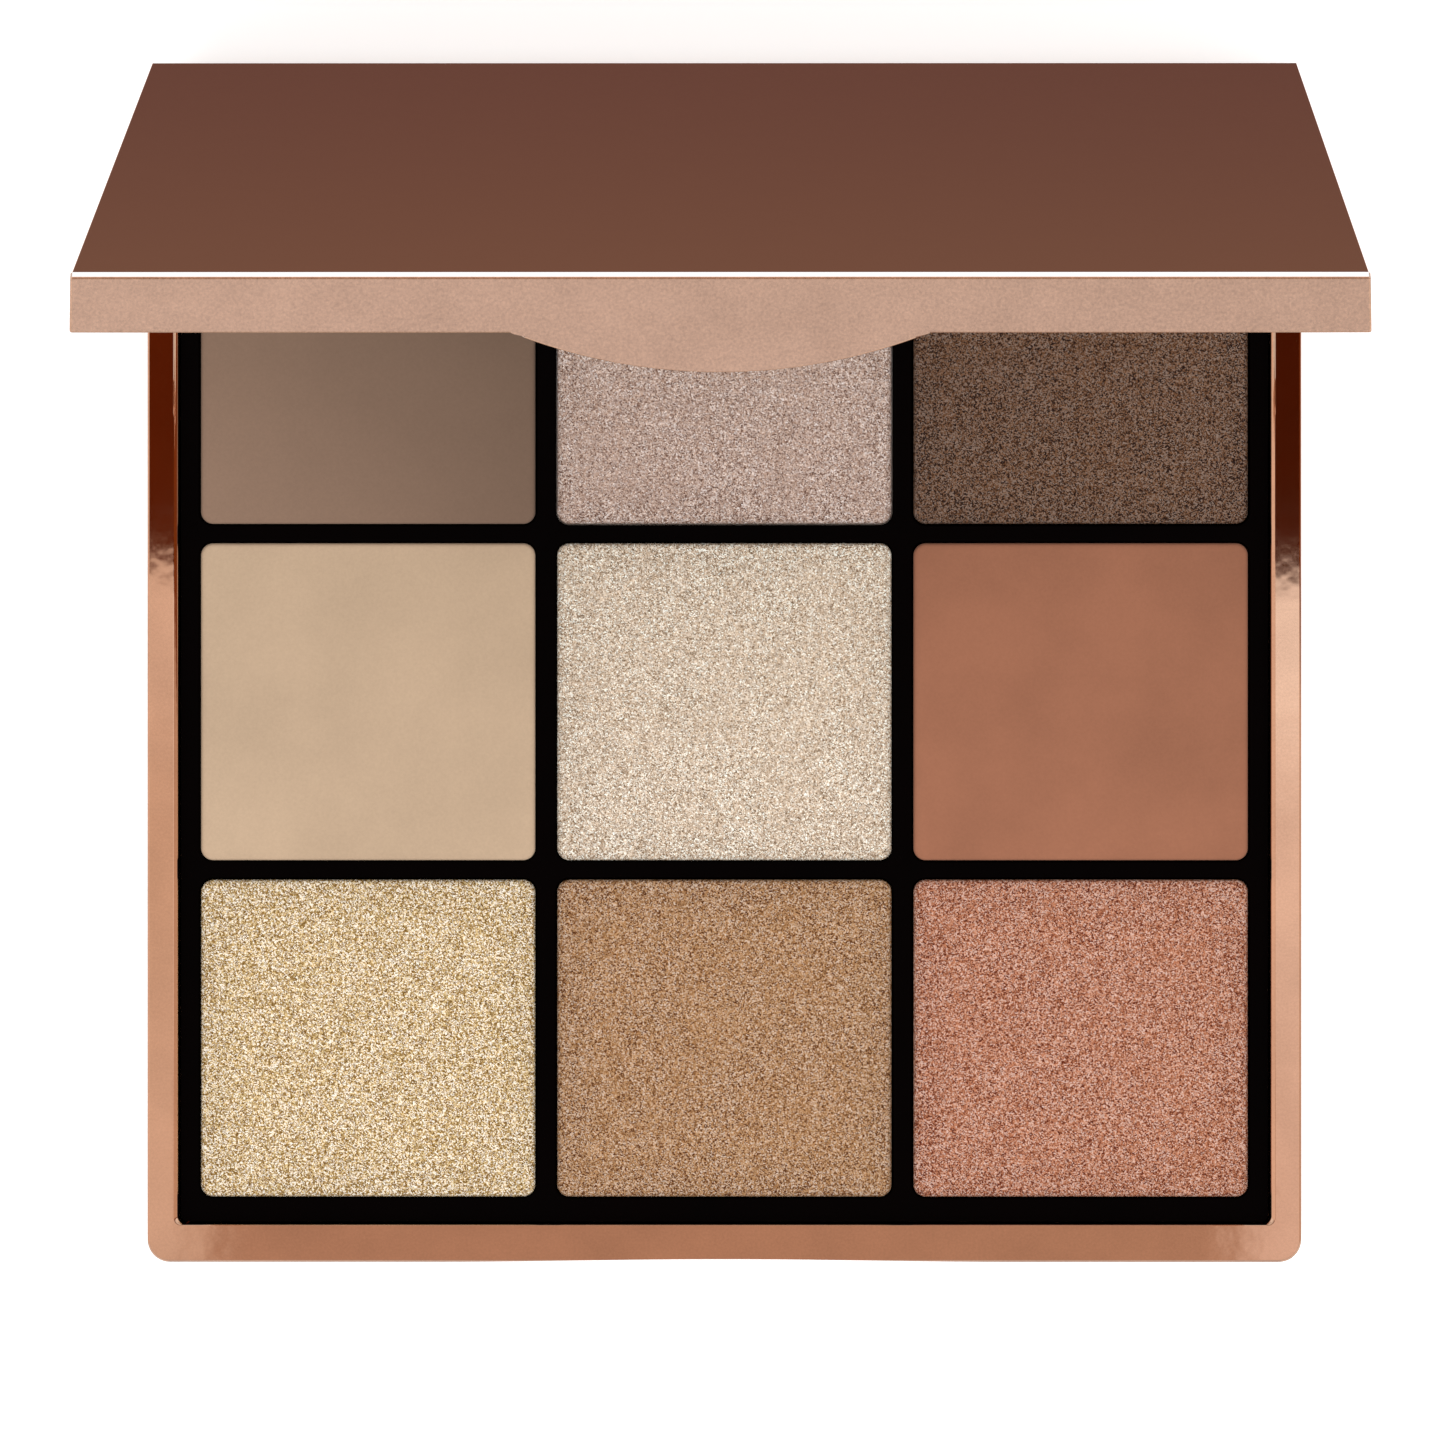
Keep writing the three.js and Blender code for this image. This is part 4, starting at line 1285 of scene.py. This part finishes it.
def studio_world(softbox):
    """An even surround for light, and a graded one for what the polished metal mirrors."""
    world = bpy.data.worlds.new("studio")
    world.use_nodes = True
    nodes = Nodes(world.node_tree)
    backdrop = world.node_tree.nodes["Background"]
    direction = nodes.add("ShaderNodeTexCoord").outputs["Generated"]
    part = nodes.add("ShaderNodeSeparateXYZ", {"Vector": direction})
    lean = nodes.math("ARCTAN2", part.outputs["Y"], part.outputs["Z"])
    skew = nodes.spread(part.outputs["X"], STRIP_LEFT, STRIP_RIGHT, STRIP_SKEW, 0)
    degrees = nodes.math("ADD", nodes.math("MULTIPLY", lean, 180 / math.pi), skew)
    off_middle = nodes.math("ABSOLUTE", nodes.math("SUBTRACT", part.outputs["X"], STRIP_MIDDLE))
    level = level_zone(nodes, part)
    left_side = nodes.math(
        "MULTIPLY", level, nodes.spread(part.outputs["X"], -0.3, -0.12, 1, 0))
    right_side = nodes.math(
        "MULTIPLY", level, nodes.spread(part.outputs["X"], 0.1, 0.25, 0, 1))
    right_tone = nodes.mix(
        nodes.spread(degrees, 0.3, 1.0, 0, 1), (0.60, 0.42, 0.32, 1), (0.20, 0.05, 0.012, 1))
    zones = (
        (front_rim_zone(nodes, off_middle, degrees), (0.51, 0.35, 0.275, 1)),
        (beside_zone(nodes, off_middle, level), ramp(nodes, part.outputs["Z"], BESIDE)),
        (left_side, (0.84, 0.68, 0.6, 1)),
        (right_side, right_tone),
        (floor_ends_zone(nodes, part, off_middle), (1.5, 1.5, 1.55, 1)),
    )
    seen = overhead_strip(nodes, part, degrees)
    for zone, tint in zones:
        seen = nodes.mix(zone, seen, tint)
    glossy = nodes.add("ShaderNodeLightPath").outputs["Is Glossy Ray"]
    nodes.set(backdrop.inputs["Color"], nodes.mix(glossy, softbox, seen))
    return world


class PALETTE_OT_studio(bpy.types.Operator):
    """Set up the pale floor, the soft lights and the camera"""

    bl_idname = "palette.studio"
    bl_label = "Studio"

    def execute(self, context):
        scene = context.scene
        scene.view_settings.view_transform = "Standard"
        scene.world = studio_world((0.75, 0.75, 0.75, 1))
        self.floor()
        self.light("key_light", (-0.15, -0.45, 0.75), 0.7, 4.0)
        self.light("fill_light", (0.5, 0.1, 0.7), 0.6, 2.0)
        self.camera(scene)
        return {"FINISHED"}

    @staticmethod
    def floor():
        bm = bmesh.new()
        bmesh.ops.create_grid(bm, x_segments=1, y_segments=1, size=3.0)
        floor = new_object("floor", bm)
        floor.visible_glossy = False
        paper, nodes, skin = start_material("floor_paper")
        skin.inputs["Base Color"].default_value = (0.9, 0.9, 0.9, 1)
        skin.inputs["Roughness"].default_value = 0.9
        skin.inputs["Specular IOR Level"].default_value = 0.0
        skin.inputs["Emission Color"].default_value = (1, 1, 1, 1)
        skin.inputs["Emission Strength"].default_value = 0.3
        floor.data.materials.append(paper)

    @staticmethod
    def light(name, place, size, power):
        """A square soft light that points at the palette."""
        lamp = bpy.data.lights.new(name, "AREA")
        lamp.size = size
        lamp.energy = power
        made = bpy.data.objects.new(name, lamp)
        made.location = place
        made.rotation_mode = "QUATERNION"
        made.rotation_quaternion = (-Vector(place)).to_track_quat("-Z", "Y")
        made.visible_glossy = False
        made.visible_camera = False
        bpy.context.scene.collection.objects.link(made)

    @staticmethod
    def camera(scene):
        """A long lens that looks down on the open palette."""
        studio = scene.palette_studio
        rim = scene.palette_shells.rim_height
        lens = bpy.data.cameras.new("camera")
        lens.lens = studio.lens
        lens.sensor_width = 36.0
        lens.clip_start = 0.01
        lens.clip_end = 20.0
        made = bpy.data.objects.new("camera", lens)
        made.location = (studio.offset_x, studio.aim_y, rim + studio.height)
        made.rotation_euler.y = math.atan2(studio.offset_x - studio.aim_x, studio.height)
        scene.collection.objects.link(made)
        scene.camera = made


# ---------------------------------------------------------------- panel and registration

OPERATORS = (
    PALETTE_OT_base, PALETTE_OT_tray, PALETTE_OT_cakes, PALETTE_OT_pans, PALETTE_OT_lid,
    PALETTE_OT_mirror, PALETTE_OT_pins, PALETTE_OT_label, PALETTE_OT_studio,
)
SETTINGS = {
    "palette_shells": PaletteShellSizes,
    "palette_trays": PaletteTraySizes,
    "palette_shades": PaletteShades,
    "palette_studio": PaletteStudio,
}


class PALETTE_PT_panel(bpy.types.Panel):
    """Lists the palette's pieces in the order they are made"""

    bl_idname = "PALETTE_PT_panel"
    bl_label = "Eyeshadow palette"
    bl_space_type = "VIEW_3D"
    bl_region_type = "UI"
    bl_category = "Palette"

    def draw(self, context):
        for operator in OPERATORS:
            self.layout.operator(operator.bl_idname)
        for name, group in SETTINGS.items():
            box = self.layout.box()
            box.label(text=group.__doc__)
            for key in group.__annotations__:
                box.prop(getattr(context.scene, name), key)


def register():
    for group in SETTINGS.values():
        bpy.utils.register_class(group)
    for name, group in SETTINGS.items():
        setattr(bpy.types.Scene, name, PointerProperty(type=group))
    for operator in (*OPERATORS, PALETTE_PT_panel):
        bpy.utils.register_class(operator)


def unregister():
    for operator in reversed((*OPERATORS, PALETTE_PT_panel)):
        bpy.utils.unregister_class(operator)
    for name in SETTINGS:
        delattr(bpy.types.Scene, name)
    for group in reversed(list(SETTINGS.values())):
        bpy.utils.unregister_class(group)


def main():
    """Registers the add-on and makes every piece."""
    register()
    for operator in OPERATORS:
        category, name = operator.bl_idname.split(".")
        getattr(getattr(bpy.ops, category), name)()


if __name__ == "__main__":
    main()
